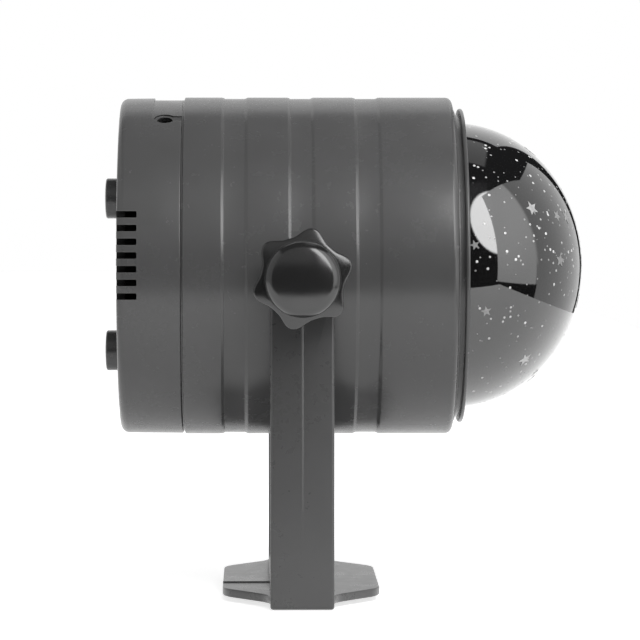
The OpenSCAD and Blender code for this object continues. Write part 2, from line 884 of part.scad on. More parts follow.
module motor_screws() {
    color("silver") along_barrel(x_chassis_top) for (side = [-1, 1])
        translate([gear_centres, side * motor_screw_y, 0])
            pan_screw(motor_shank_r, motor_head_r, motor_head_h, chassis_t + shaft_in - run);
}

module shaft_section(r) {
    difference() {
        circle(r);
        translate([r - shaft_flat, -2 * r]) square([4 * r, 4 * r]);
    }
}

module output_shaft() {
    x_start = x_chassis - shaft_in + run;
    x_flat = x_pinion - shaft_end;
    x_end = x_pinion + pinion_w + shaft_end;
    color("silver") {
        along_barrel(x_start) translate([gear_centres, 0, 0]) cylinder(r = shaft_r, h = x_flat - x_start);
        along_barrel(x_flat) translate([gear_centres, 0, 0])
            linear_extrude(x_end - x_flat) shaft_section(shaft_r);
    }
}

// Half the angle of a tooth at radius r, for an involute tooth of the given pitch radius
function involute(a) = tan(a) * 180 / PI - a;
function half_tooth(r, pitch_r, teeth, slack) =
    90 / teeth + slack / pitch_r * 180 / PI + involute(pressure)
    - involute(acos(min(1, pitch_r * cos(pressure) / r)));

flank_steps = 4;

function gear_outline(pitch_r, teeth, low_r, high_r, slack) =
    [for (i = [0 : teeth - 1], edge = [-1, 1], j = [0 : flank_steps])
        let (step = edge < 0 ? j : flank_steps - j,
             r = low_r + (high_r - low_r) * step / flank_steps,
             a = 360 * i / teeth + edge * half_tooth(r, pitch_r, teeth, slack))
        r * [cos(a), sin(a)]];

module drive_pinion() {
    color("ivory") along_barrel(x_pinion) translate([gear_centres, 0, 0]) linear_extrude(pinion_w)
        difference() {
            polygon(gear_outline(pinion_pitch_r, pinion_teeth,
                                 pinion_pitch_r - pinion_root_share * gear_module,
                                 pinion_tip_r, -backlash / 2));
            shaft_section(shaft_r + run);
        }
}

// Lamp

module heat_sink() {
    fin_h = sink_h - 2 * sink_plate_t;
    color("lightgray") along_barrel(x_chassis_top) difference() {
        union() {
            cylinder(r = sink_r, h = sink_plate_t);
            translate([0, 0, sink_plate_t]) linear_extrude(fin_h) {
                circle(sink_core_r);
                for (i = [0 : fin_count / 2 - 1]) rotate([0, 0, (i + 0.5) * 360 / fin_count])
                    square([2 * (sink_r - fin_t), fin_t], center = true);
            }
            translate([0, 0, sink_plate_t + fin_h]) cylinder(r = sink_r, h = sink_plate_t);
        }
        lamp_places() translate([0, 0, -cut])
            cylinder(r = board_shank_r + screw_slack, h = sink_h + 2 * cut);
    }
}

module lamp_board() {
    color("white") along_barrel(x_sink_top) difference() {
        cylinder(r = sink_r, h = lamp_t);
        lamp_places() translate([0, 0, -cut])
            cylinder(r = board_shank_r + screw_slack, h = lamp_t + 2 * cut);
    }
}

module lamp_leds() {
    color("khaki") along_barrel(x_lamp) for (x = [-1, 1], y = [-1, 1])
        translate([x * led_at - led_w / 2, y * led_at - led_w / 2, 0]) cube([led_w, led_w, led_t]);
}

module lamp_lens() {
    in_r = lens_r - lens_wall;
    color("azure") along_barrel(x_lamp) turned(concat(
        [[in_r, 0], [lens_r + lens_foot, 0], [lens_r + lens_foot, lens_foot_t]],
        arc(0, lens_foot_t, lens_r, 0, 90, 2 * arc_steps), reversed(arc(0, 0, in_r, 0, 90, 2 * arc_steps))));
}

module lamp_screws() {
    color("silver") along_barrel(x_lamp) lamp_places()
        pan_screw(board_shank_r, board_head_r, board_head_h,
                  lamp_t + sink_h + chassis_t + lamp_screw_tail);
}

// Leads, each one tube swept along its route with a ring at every point

function unit(v) = v / norm(v);

function lead_ring(at, way) =
    let (across = unit(cross(way, [0, 0, 1])), up = cross(across, way))
    [for (i = [0 : lead_sides - 1]) let (a = 360 * i / lead_sides)
        at + lead_r * (across * cos(a) + up * sin(a))];

module lead(points) {
    last = len(points) - 1;
    rings = [for (i = [0 : last]) each lead_ring(points[i],
        unit(unit(points[min(i + 1, last)] - points[i == last ? i - 1 : i])
             + unit(points[i == 0 ? 1 : i] - points[max(i - 1, 0)])))];
    sides = [for (i = [0 : last - 1], j = [0 : lead_sides - 1])
        let (k = (j + 1) % lead_sides, low = i * lead_sides, high = low + lead_sides)
        [low + j, low + k, high + k, high + j]];
    start = [[for (j = [lead_sides - 1 : -1 : 0]) j]];
    end = [[for (j = [0 : lead_sides - 1]) last * lead_sides + j]];
    polyhedron(rings, concat(start, sides, end));
}

module wiring() {
    plug_x = x_board_top + plug_h + lead_gap;
    slack_x = x_board_top + 3 * plug_h;
    motor_y = motor_w / 3;
    motor_z = axis_z - gear_centres;
    edge_r = sink_r + lead_gap;
    edge_share = 1 / norm([window_y, window_z]);
    x_edge = x_lamp - lamp_t / 2;
    color("firebrick") lead([
        [plug_x, plug_y, board_z + plug_z], [slack_x, plug_y, board_z + plug_z],
        [x_motor - plug_h, motor_y, motor_z], [x_motor - lead_gap, motor_y, motor_z]]);
    color("firebrick") lead([
        [plug_x, -plug_y, board_z + plug_z], [slack_x, -plug_y, board_z + plug_z],
        [x_gearbox, -window_y, axis_z + window_z], [x_edge, -window_y, axis_z + window_z],
        [x_edge, -window_y * edge_share * edge_r, axis_z + window_z * edge_share * edge_r]]);
}

// Turning dome

module turntable() {
    seat_r = dome_r + dome_slip;
    seat_in_r = dome_r - dome_wall - 2 * dome_slip;
    rim_in_r = seat_in_r - dome_seat;
    x_seat = x_flange_top - dome_seat;
    x_teeth = x_skirt + ring_w;
    root_r = ring_pitch_r + ring_root_share * gear_module;
    clip_in_r = skirt_r - ring_clip_step;
    x_clip = x_skirt + ring_clip_t;
    color("dimgray") along_barrel() difference() {
        turned([
            [ring_pitch_r - gear_module, x_skirt], [clip_in_r, x_skirt], [clip_in_r, x_clip],
            [skirt_r, x_clip], [skirt_r, x_lip + step_gap], [step_r, x_lip + step_gap],
            [step_r, x_flange], [flange_r - flange_edge, x_flange], [flange_r, x_flange + flange_edge],
            [flange_r, x_flange_top - flange_edge], [flange_r - flange_edge, x_flange_top],
            [seat_r, x_flange_top], [seat_r, x_seat], [seat_in_r, x_seat], [seat_in_r, x_flange_top],
            [rim_in_r, x_flange_top], [rim_in_r, x_teeth + run], [root_r + run, x_teeth],
            [ring_pitch_r - gear_module, x_teeth]]);
        translate([0, 0, x_skirt - cut]) linear_extrude(ring_w + 2 * cut)
            polygon(gear_outline(ring_pitch_r, ring_teeth, ring_pitch_r - ring_tip_share * gear_module,
                                 root_r, backlash / 2));
    }
}

module retaining_ring() {
    color("gray") along_barrel(x_skirt) difference() {
        cylinder(r = ring_clip_r, h = ring_clip_t - pass);
        translate([0, 0, -cut]) cylinder(r = skirt_r - ring_clip_step + bezel_slip, h = ring_clip_t + 2 * cut);
    }
}

// The dome's wall between two ellipses, cut off square where it enters its seat
function dome_side(r, depth, x_cut) =
    let (start = asin((x_cut - x_dome_mid) / depth))
    [for (i = [0 : dome_steps]) let (a = start + (90 - start) * i / dome_steps)
        [r * cos(a), x_dome_mid + depth * sin(a)]];

module star_dome() {
    x_cut = x_flange_top - dome_seat + run;
    color([0.16, 0.16, 0.18, 0.85]) along_barrel() turned(concat(
        dome_side(dome_r, dome_depth, x_cut),
        reversed(dome_side(dome_r - dome_wall, dome_depth - dome_wall, x_cut))));
}

// Clamp knobs

function lobe_points() =
    [for (i = [0 : knob_lobes * lobe_steps - 1])
        let (a = 360 * i / (knob_lobes * lobe_steps),
             share = pow((1 + cos(knob_lobes * a)) / 2, lobe_sharpness),
             r = knob_hollow_r + (knob_d / 2 - knob_hollow_r) * share)
        r * [cos(a), sin(a)]];

// The cap's side, its rounded shoulder and its shallow crown
function cap_profile(r, top) =
    let (inset = r - cap_edge_r, reach = crown_r - cap_edge_r, fall = sqrt(reach * reach - inset * inset),
         middle = top - crown_r, turn = asin(fall / reach))
    concat([[0, 0], [r, 0]], arc(inset, middle + fall, cap_edge_r, 0, turn),
           [for (i = [1 : arc_steps]) let (a = turn + (90 - turn) * i / arc_steps)
               [crown_r * cos(a), middle + crown_r * sin(a)]]);

// The lobed plate, whose face slopes away from the cap
module lobed_plate() {
    cap_r = cap_d / 2;
    past_lobes = knob_d / 2 + cut;
    fall = tan(knob_face_slope) * (past_lobes - cap_r);
    intersection() {
        linear_extrude(knob_t) polygon(lobe_points());
        turned([[0, -cut], [past_lobes, -cut], [past_lobes, knob_t - fall], [cap_r, knob_t], [0, knob_t]]);
    }
}

module knob(side) {
    color("dimgray") outward(side, knob_at) rotate([0, 0, knob_turn]) difference() {
        union() {
            lobed_plate();
            translate([0, 0, knob_t - cap_root]) turned(cap_profile(cap_d / 2, cap_root + cap_h));
        }
        translate([0, 0, -cut]) cylinder(r = stud_d / 2 + screw_slack, h = stud_seat + cut);
    }
}

module stud(side) {
    stud_r = stud_d / 2;
    start = boss_face - insert_len + stud_tip;
    end = knob_at + stud_seat - screw_slack;
    color("silver") outward(side) turned([
        [0, start], [stud_r - stud_edge, start], [stud_r, start + stud_edge],
        [stud_r, end - stud_edge], [stud_r - stud_edge, end], [0, end]]);
}

module washer(side) {
    color("silver") outward(side, washer_at) difference() {
        cylinder(r = washer_r, h = washer_t);
        translate([0, 0, -cut]) cylinder(r = stud_d / 2 + run, h = washer_t + 2 * cut);
    }
}

stand();
foot_pad();
barrel();
rear_cover();
cover_screws();
front_bezel();
pivot_inserts();
friction_pads();
control_board();
board_components();
switch_bases();
power_socket();
board_screws();
chassis_plate();
chassis_screws();
motor_can();
gearbox();
motor_screws();
heat_sink();
lamp_board();
lamp_leds();
lamp_lens();
lamp_screws();
wiring();
turntable();
retaining_ring();
star_dome();
drive_pinion();
output_shaft();
knob(-1);  // knob_right
knob(1);  // knob_left
stud(-1);  // stud_right
stud(1);  // stud_left
washer(-1);  // washer_right
washer(1);  // washer_left
push_button(1);  // upper_button
push_button(-1);  // lower_button
plunger(1);  // upper_plunger
plunger(-1);  // lower_plunger
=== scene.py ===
import json
from functools import partial
from math import acos, asin, atan2, cos, hypot, pi, radians, sin, sqrt, tan

import bmesh
import bpy
from mathutils import Matrix, Vector


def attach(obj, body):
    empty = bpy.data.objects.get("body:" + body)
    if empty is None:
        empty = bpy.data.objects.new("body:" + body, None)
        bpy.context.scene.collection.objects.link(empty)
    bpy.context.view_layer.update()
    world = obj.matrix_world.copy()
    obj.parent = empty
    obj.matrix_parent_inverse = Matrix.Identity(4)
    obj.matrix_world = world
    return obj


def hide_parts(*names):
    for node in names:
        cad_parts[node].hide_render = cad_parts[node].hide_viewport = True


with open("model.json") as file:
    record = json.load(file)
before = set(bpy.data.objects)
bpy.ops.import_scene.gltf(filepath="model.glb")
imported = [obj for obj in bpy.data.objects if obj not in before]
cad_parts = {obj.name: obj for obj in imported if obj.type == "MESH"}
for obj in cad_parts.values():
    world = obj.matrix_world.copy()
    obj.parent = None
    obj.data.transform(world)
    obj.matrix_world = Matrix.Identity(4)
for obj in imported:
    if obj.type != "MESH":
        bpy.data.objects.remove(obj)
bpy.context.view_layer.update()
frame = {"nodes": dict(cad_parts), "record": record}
mm = 0.001
axisZ = 85.2      # the barrel's own axis
pivotZ = 82.9     # the knobs' axis, about which the head tilts
boardZ = 82.9     # middle of the two buttons


# nodes

def add(tree, kind, inputs=None, **settings):
    # each input takes a constant, a socket, or a node's first output
    node = tree.nodes.new(kind)
    for key, value in settings.items():
        setattr(node, key, value)
    for key, value in (inputs or {}).items():
        if isinstance(value, bpy.types.Node):
            value = value.outputs[0]
        if isinstance(value, bpy.types.NodeSocket):
            tree.links.new(value, node.inputs[key])
        else:
            node.inputs[key].default_value = value
    return node


def maths(tree, operation, *values):
    return add(tree, "ShaderNodeMath", dict(enumerate(values)), operation=operation).outputs[0]


def newTree(name, **sockets):
    # a tree, its named inputs, and what adds geometry and maths nodes to it
    tree = bpy.data.node_groups.new(name, "GeometryNodeTree")
    for label, kind in {"Geometry": "Geometry", **sockets, "Material": "Material"}.items():
        tree.interface.new_socket(label.replace("_", " "), in_out="INPUT", socket_type="NodeSocket" + kind)
    tree.interface.new_socket("Geometry", in_out="OUTPUT", socket_type="NodeSocketGeometry")
    geo = lambda kind, inputs=None, **settings: add(tree, "GeometryNode" + kind, inputs, **settings)
    return tree, tree.nodes.new("NodeGroupInput").outputs, geo, partial(maths, tree)


def endTree(tree, given, geometry):
    real = add(tree, "GeometryNodeRealizeInstances", {"Geometry": geometry})
    painted = add(tree, "GeometryNodeSetMaterial", {"Geometry": real, "Material": given["Material"]})
    add(tree, "NodeGroupOutput", {"Geometry": painted})
    return tree


def join(tree, *parts):
    node = add(tree, "GeometryNodeJoinGeometry")
    for part in parts:
        tree.links.new(part.outputs[0], node.inputs[0])
    return node


def grow(piece, tree, values):
    # runs a tree on a piece, its inputs set by the sockets' identifiers, and keeps a plain mesh
    work = piece.modifiers.new(tree.name, "NODES")
    work.node_group = tree
    for item in tree.interface.items_tree:
        if item.name in values:
            work[item.identifier] = values[item.name]
    return applyModifiers(piece)


# materials

def grey(level, blue=1):
    return (level, level, level * blue, 1)


def scaled(colour, share):
    return tuple(min(c * share, 0.95) for c in colour[:3]) + (1,)


def startMaterial(name):
    made = bpy.data.materials.new(name)
    made.use_nodes = True
    return made, made.node_tree, add(made.node_tree, "ShaderNodeTexCoord").outputs["Object"]


def endMaterial(made, tone, rough, height, strength, depth, constants):
    # paint, roughness and relief are linked, and the constants go onto the shader's own sockets
    tree, shader = made.node_tree, made.node_tree.nodes["Principled BSDF"]
    bump = add(tree, "ShaderNodeBump", {"Strength": strength, "Distance": depth, "Height": height}).outputs[0]
    for socket, value in {"Base Color": tone, "Roughness": rough, "Normal": bump, "Coat Normal": bump}.items():
        tree.links.new(value, shader.inputs[socket])
    for socket, value in constants.items():
        shader.inputs[socket].default_value = value
    return made


def noiseAt(tree, place, scale, detail=2, rough=0.5):
    return add(tree, "ShaderNodeTexNoise",
               {"Vector": place, "Scale": scale, "Detail": detail, "Roughness": rough}).outputs["Fac"]


def remap(tree, value, low, high, fromLow=0.3, fromHigh=0.7):
    return add(tree, "ShaderNodeMapRange", {"Value": value, "From Min": fromLow, "From Max": fromHigh,
                                            "To Min": low, "To Max": high}).outputs["Result"]


def mixColour(tree, amount, first, second):
    # a mix node's colours are its inputs 6 and 7 and its output 2
    return add(tree, "ShaderNodeMix", {0: amount, 6: first, 7: second}, data_type="RGBA").outputs[2]


def mottle(tree, noise, first, second):
    return mixColour(tree, remap(tree, noise, 0, 1), first, second)


def edgeMask(tree, radius):
    # 0 on open faces and 1 along edges, from the turn of a rounded normal
    bevel = add(tree, "ShaderNodeBevel", {"Radius": radius}, samples=6)
    flat = add(tree, "ShaderNodeNewGeometry").outputs["Normal"]
    dot = add(tree, "ShaderNodeVectorMath", {0: bevel, 1: flat}, operation="DOT_PRODUCT")
    return remap(tree, dot.outputs["Value"], 1, 0, 0.82, 0.995)


mouldedLook = {
    "grain": 2600, "grainDepth": 0.000016,    # fine spark-eroded texture
    "swirl": 45, "tone": 0.05,                # slow change of tone from the moulding
    "scuff": 260, "edgeRadius": 0.0005,
}


def mouldedPlastic(name, colour, roughness, edgeLift=1.5, bumpPower=0.22, gloss=1.5):
    made, tree, place = startMaterial(name)
    look = mouldedLook
    slow = noiseAt(tree, place, look["swirl"], 3)
    scuff = noiseAt(tree, place, look["scuff"], 4, 0.65)
    tone = mottle(tree, slow, grey(colour * (1 - look["tone"])), grey(colour * (1 + look["tone"]), 1.01))
    # edges lightened along a bevel mask: partly wear, partly a painted highlight
    wearAndSheen = mixColour(tree, edgeMask(tree, look["edgeRadius"]), tone, grey(colour * edgeLift))
    rub = maths(tree, "ADD", remap(tree, slow, -0.02, 0.02), remap(tree, scuff, -0.03, 0.03))
    return endMaterial(made, wearAndSheen, maths(tree, "ADD", rub, roughness), noiseAt(tree, place, look["grain"]),
                       bumpPower, look["grainDepth"], {"IOR": gloss})


def metal(name, colour, roughness, lines=900, stretch=(1, 0.04, 1), tarnish=0.12):
    # turned or drawn metal: fine lines across one axis and a slow tarnish
    made, tree, place = startMaterial(name)
    drawn = add(tree, "ShaderNodeMapping", {"Vector": place, "Scale": stretch}).outputs["Vector"]
    fine = noiseAt(tree, drawn, lines, 3, 0.6)
    tone = mottle(tree, noiseAt(tree, place, 180, 3), scaled(colour, 1 - tarnish), colour)
    rough = remap(tree, fine, roughness - 0.07, roughness + 0.09)
    return endMaterial(made, tone, rough, fine, 0.3, 0.00002, {"Metallic": 1})


def grained(name, colour, roughness, grain, depth, spread=0.15, accent=None):
    # rubber, foam, boards and small electric parts: a mottled colour over a fine relief
    made, tree, place = startMaterial(name)
    fine = noiseAt(tree, place, grain, 3, 0.6)
    tone = mottle(tree, noiseAt(tree, place, grain / 12), scaled(colour, 1 - spread), accent or colour)
    tone = mixColour(tree, remap(tree, fine, 0, 0.35), tone, scaled(colour, 1.25))
    return endMaterial(made, tone, remap(tree, fine, roughness - 0.06, roughness + 0.08), fine, 0.4, depth, {})


smokedLook = {"tint": 0.028, "mirror": 1.6, "handling": 90, "flow": 22, "film": 0.03}


def smokedMirror(look):
    # smoked clear plastic under a thin half mirror: dark body, strong even coat
    made, tree, place = startMaterial("smokedMirror")
    handling = noiseAt(tree, place, look["handling"], 4, 0.6)
    flow = noiseAt(tree, place, look["flow"])
    tone = mottle(tree, flow, grey(look["tint"] * 0.85), grey(look["tint"], 1.06))
    return endMaterial(made, tone, remap(tree, handling, 0.02, look["film"] + 0.03), flow, 0.12, 0.0002, {
        "Transmission Weight": 0.7, "IOR": 1.49, "Coat Weight": 1, "Coat Roughness": 0.02, "Coat IOR": look["mirror"]})


def clearWindows():
    # the clear dots and stars in the mirror, painted with the light seen through them: brighter or fainter by their own
    # attribute
    made, tree, place = startMaterial("clearWindows")
    glow = add(tree, "ShaderNodeAttribute", attribute_name="clearness").outputs["Fac"]
    fine = noiseAt(tree, place, 1500)
    faint, bright = mottle(tree, fine, grey(0.24), grey(0.33)), mottle(tree, fine, grey(0.75), grey(0.95))
    tone = mixColour(tree, glow, faint, bright)
    return endMaterial(made, tone, remap(tree, fine, 0.04, 0.1), fine, 0.06, 0.00002, {"IOR": 1.7})


def clearMoulding(name, colour, roughness):
    made, tree, place = startMaterial(name)
    flow = noiseAt(tree, place, 300)
    return endMaterial(made, mottle(tree, flow, scaled(colour, 0.93), colour),
                       remap(tree, flow, roughness, roughness + 0.05), flow, 0.1, 0.0001,
                       {"Transmission Weight": 1, "IOR": 1.5})


finishes = {
    "case_plastic": mouldedPlastic("casePlastic", 0.08, 0.255),
    "stand_plastic": mouldedPlastic("standPlastic", 0.075, 0.29),
    "knob_plastic": mouldedPlastic("knobPlastic", 0.018, 0.16, edgeLift=2.2, bumpPower=0.12, gloss=1.68),
    "chassis_plastic": mouldedPlastic("chassisPlastic", 0.28, 0.5),
    "foam_pad": grained("foamPad", grey(0.02), 0.85, 1800, 0.0002),
    "friction_rubber": grained("frictionRubber", grey(0.025), 0.7, 2400, 0.00005),
    "steel": metal("zincSteel", (0.62, 0.62, 0.64, 1), 0.3),
    "black_steel": metal("blackSteel", (0.045, 0.045, 0.048, 1), 0.4),
    "brass": metal("turnedBrass", (0.78, 0.6, 0.3, 1), 0.27),
    "aluminium": metal("satinAluminium", (0.76, 0.76, 0.78, 1), 0.36, 700, (0.04, 1, 1), 0.08),
    "circuit_board": grained("circuitBoard", (0.03, 0.16, 0.07, 1), 0.35, 700, 0.00003, 0.3, (0.05, 0.22, 0.1, 1)),
    "white_board": grained("whiteBoard", (0.8, 0.8, 0.79, 1), 0.4, 700, 0.00002, 0.06),
    "electronics": grained("electronics", grey(0.05), 0.4, 900, 0.00003, 0.3),
    "white_plastic": grained("acetal", (0.78, 0.77, 0.71, 1), 0.4, 1100, 0.00002, 0.05),
    "led_yellow": grained("phosphor", (0.85, 0.72, 0.26, 1), 0.45, 1400, 0.00002, 0.1),
    "wire_red": grained("leadSleeve", (0.5, 0.04, 0.03, 1), 0.45, 900, 0.00002),
    "clear_plastic": clearMoulding("clearLens", (0.92, 0.94, 0.96, 1), 0.04),
    "smoked_dome": smokedMirror(smokedLook),
}
windows = clearWindows()
# painted shade: a near-black plastic laid where shadow falls in the depth of vents and recesses
paintedDeepShade = mouldedPlastic("paintedDeepShade", 0.012, 0.75, edgeLift=1)    # seen in the depth of vents and recesses
for part in frame["record"]["subparts"]:
    mesh = frame["nodes"][part["node"]].data
    mesh.materials.clear()
    mesh.materials.append(finishes[part["material_slot"]])
print("materials ready:", len(finishes) + 2)


# mesh helpers

def rounded(corners, steps=5):
    # corners are (r, x) or (r, x, fillet), in millimetres; each fillet becomes an arc
    points, count = [], len(corners)
    for i, corner in enumerate(corners):
        here = Vector(corner[:2])
        fillet = corner[2] if len(corner) > 2 else 0
        if not fillet:
            points.append(here)
            continue
        before = (Vector(corners[i - 1][:2]) - here).normalized()
        after = (Vector(corners[(i + 1) % count][:2]) - here).normalized()
        half = before.angle(after) / 2
        reach = fillet / tan(half)
        middle = here + (before + after).normalized() * (fillet / sin(half))
        start, end = here + before * reach - middle, here + after * reach - middle
        turn = start.angle_signed(end)
        for k in range(steps + 1):
            points.append(middle + Matrix.Rotation(-turn * k / steps, 2) @ start)
    return points


def pin(r, start, end, *fillet):
    # outline of a cylinder, with the far end's fillet if one is given
    return [(0, start), (r, start), (r, end, *fillet), (0, end)]


def revolved(points, segments, place, closed=True):
    # an outline (r, along) turned once round; place puts (along, across, up) into the frame
    bm = bmesh.new()
    rings = []
    for r, along in points:
        if r < 1e-6:
            rings.append([bm.verts.new(place(along, 0, 0))] * segments)
        else:
            rings.append([bm.verts.new(place(along, r * cos(a), r * sin(a)))
                          for a in (2 * pi * k / segments for k in range(segments))])
    for i, ring in enumerate(rings if closed else rings[:-1]):
        nextRing = rings[(i + 1) % len(rings)]
        for k in range(segments):
            j = (k + 1) % segments
            corner = []
            for v in (ring[k], ring[j], nextRing[j], nextRing[k]):
                if v not in corner:
                    corner.append(v)
            if len(corner) > 2:
                bm.faces.new(corner)
    return bm


def onBarrel(along, across, up):
    return Vector((along * mm, across * mm, (axisZ + up) * mm))


def onButton(height):
    return lambda along, across, up: Vector((along * mm, across * mm, (height + up) * mm))


def alongX(y, z):
    return lambda along, across, up: Vector((along, across + y, up + z)) * mm


def upright(x=0, y=0):
    return lambda along, across, up: Vector((x + across, y + up, along)) * mm


def outward(side, height=pivotZ):
    return lambda along, across, up: Vector((across * mm, side * along * mm, (height + up) * mm))


def turned(bm, degrees):
    # about the barrel's axis
    middle = Vector((0, 0, axisZ * mm))
    bmesh.ops.rotate(bm, verts=bm.verts, cent=middle, matrix=Matrix.Rotation(radians(degrees), 3, "X"))
    return bm


def lofted(rings):
    # skin over rings of equal length, with both ends capped
    bm = bmesh.new()
    made = [[bm.verts.new(p) for p in ring] for ring in rings]
    for low, high in zip(made, made[1:]):
        for k in range(len(low)):
            j = (k + 1) % len(low)
            bm.faces.new((low[k], low[j], high[j], high[k]))
    bm.faces.new(list(reversed(made[0])))
    bm.faces.new(made[-1])
    return bm


def blockAt(low, high):
    bm = bmesh.new()
    bmesh.ops.create_cube(bm, size=1)
    low, high = Vector(low), Vector(high)
    for v in bm.verts:
        v.co = Vector((low[i] + (high[i] - low[i]) * (v.co[i] + 0.5) for i in range(3))) * mm
    return bm


def linked(name, bm):
    mesh = bpy.data.meshes.new(name)
    bm.to_mesh(mesh)
    bm.free()
    made = bpy.data.objects.new(name, mesh)
    bpy.context.scene.collection.objects.link(made)
    return made


def toObject(name, bm):
    bmesh.ops.remove_doubles(bm, verts=bm.verts, dist=1e-7)
    bmesh.ops.recalc_face_normals(bm, faces=bm.faces)
    return linked(name, bm)


def applyModifiers(piece):
    mesh = bpy.data.meshes.new_from_object(piece.evaluated_get(bpy.context.evaluated_depsgraph_get()))
    piece.modifiers.clear()
    piece.data = mesh
    return piece


def carve(piece, tool, operation="DIFFERENCE"):
    if isinstance(tool, bmesh.types.BMesh):
        tool = toObject("tool", tool)
    work = piece.modifiers.new("carve", "BOOLEAN")
    work.operation, work.solver, work.object = operation, "EXACT", tool
    applyModifiers(piece)
    bpy.data.objects.remove(tool)


def shadeSmooth(piece, degrees=28):
    piece.data.polygons.foreach_set("use_smooth", [True] * len(piece.data.polygons))
    piece.data.set_sharp_from_angle(angle=radians(degrees))
    piece.data.update()


def dress(piece, body, replaced, slotName, material=None, degrees=28):
    piece.data.materials.clear()
    piece.data.materials.append(material or finishes[slotName])
    shadeSmooth(piece, degrees)
    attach(piece, body)
    if replaced:
        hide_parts(*replaced)


# barrel

barrel = {
    "r": 44, "inR": 41.8, "seamX": -30, "seamR": 43.3, "seamGap": 0.45, "frontX": 39.5, "edge": 1.5, "segments": 288,
    "bands": (-16.9, 0.1, 17.1), "bandHalf": 3.45, "bandDepth": 0.35, "frontEdge": 1.1,
    "rearEdge": 0.7, "rearSlope": 0.62, "rearAngle": 17,
    "collarX": -35.5, "collarR": 41.45, "collarInR": 39.65, "collarFoot": (-26, -23.8),
    "ledgeR": 40.9, "ledgeX": (37.2, 36.2, 35.3),
    "notchX": (-42.8, -30.6), "notchR": 39.8, "notchHeight": 2.6, "notchHalf": 4.4, "notchTurn": 29,
    "lugX": (-38, -26), "lugR": (35, 39.8), "lugHalf": 3.5, "lugHole": 1.2, "lugHoleX": -34.8,
    "bossR": 9, "bossRoot": 36, "bossFace": 45.2, "boreR": 3.65, "boreDepth": 8,
}


def slopeBetween(r0, r1, x0, x1, steps=8):
    # an edge that eases out of one radius and into the other
    eased = [(i / steps, (i / steps) ** 2 * (3 - 2 * i / steps)) for i in range(steps + 1)]
    return [(r0 + (r1 - r0) * e, x0 + (x1 - x0) * t) for t, e in eased]


def rearEdge(b, x):
    # a narrow even slope, which catches the light as one fine line, and a short drop to the band's floor
    top, share = b["rearSlope"] * tan(radians(b["rearAngle"])), b["rearSlope"]
    return [(b["r"], x, 0.4), (b["r"] - top, x + share), (b["r"] - b["bandDepth"], x + b["rearEdge"], 0.06)]


def barrelOutline(b):
    seam, floor, half = b["seamX"] - b["seamGap"], b["r"] - b["bandDepth"], b["bandHalf"]
    line = [(b["collarInR"], b["collarX"], 0.3), (b["collarR"], b["collarX"], 0.3), (b["collarR"], seam),
            (b["seamR"], seam, 0.1), (b["seamR"], b["seamX"]), (b["r"], b["seamX"], 0.3)]
    for x in b["bands"]:
        line += rearEdge(b, x - half)
        line += slopeBetween(floor, b["r"], x + half - b["frontEdge"], x + half)
    ledge, back, end = b["ledgeX"]
    line += [(b["r"], b["frontX"], b["edge"]), (b["inR"], b["frontX"], 0.2), (b["inR"], ledge),
             (b["ledgeR"], ledge, 0.1), (b["ledgeR"], back, 0.1), (b["inR"], end),
             (b["inR"], b["collarFoot"][1]), (b["collarInR"], b["collarFoot"][0])]
    return rounded(line)


def buildBarrel(b):
    piece = toObject("barrelShell", revolved(barrelOutline(b), b["segments"], onBarrel))
    low, high = (axisZ + r for r in b["lugR"])
    bottom, wide = axisZ + b["notchR"], b["notchHalf"]
    for side in (-1, 1):
        # the collar gives way to the cover's screw pads and carries a lug under each
        turn = side * b["notchTurn"]
        lug = blockAt((b["lugX"][0], -b["lugHalf"], low), (b["lugX"][1], b["lugHalf"], high))
        carve(piece, turned(lug, turn), "UNION")
        notch = blockAt((b["notchX"][0], -wide, bottom), (b["notchX"][1], wide, bottom + b["notchHeight"]))
        carve(piece, turned(notch, turn))
        hole = revolved(pin(b["lugHole"], low - 1, high + 1), 32, upright(b["lugHoleX"]))
        carve(piece, turned(hole, turn))
    face = b["bossFace"]
    for side in (-1, 1):
        boss = rounded(pin(b["bossR"], b["bossRoot"], face, 0.4))
        carve(piece, revolved(boss, 96, outward(side)), "UNION")
        carve(piece, revolved(pin(b["boreR"], face - b["boreDepth"], face + 1), 64, outward(side)))
    dress(piece, "head", ["barrel"], "case_plastic", degrees=24)


buildBarrel(barrel)
print("barrel done")


# rear cover

cover = {
    "frontX": -30.5, "backX": -46.6, "frontR": 43.85, "backR": 43.65, "inR": 41.65, "innerX": -44.4, "edge": 2,
    "flatMargin": 0.4, "segments": 288,
    "postY": 8.5, "postZ": 24.5, "postR": 2.5, "postX": (-45.5, -36.6), "postHole": (1.05, -41.6, -35),
    "buttons": (102.8, 63), "buttonHole": 5.5, "chamfer": 0.35, "inlet": (4.8, 2), "throughX": (-48, -43),
    "shieldY": 35.45, "shieldThick": 1.2, "shieldX": -40.8, "shieldHalf": 13.205,
    "padReach": 4, "padR": (40, 42.2), "keyholeX": -34.8, "keyholeTurn": 29, "keyholeR": 2.825, "recess": 0.9,
    "channel": 4, "seat": 40.8, "screwR": (1.2, 2.03), "inside": 38, "outside": 45,
    "pocket": 7.4, "pocketDepth": 0.4, "pocketOut": 46, "pocketSteps": 48,
    "vents": 7, "ventPitch": 3.43, "ventHeight": 1.65, "ventLength": 5.2, "ventDepth": 4.8, "ventEnd": 0.3,
    "ventMiddle": 88.55,
}


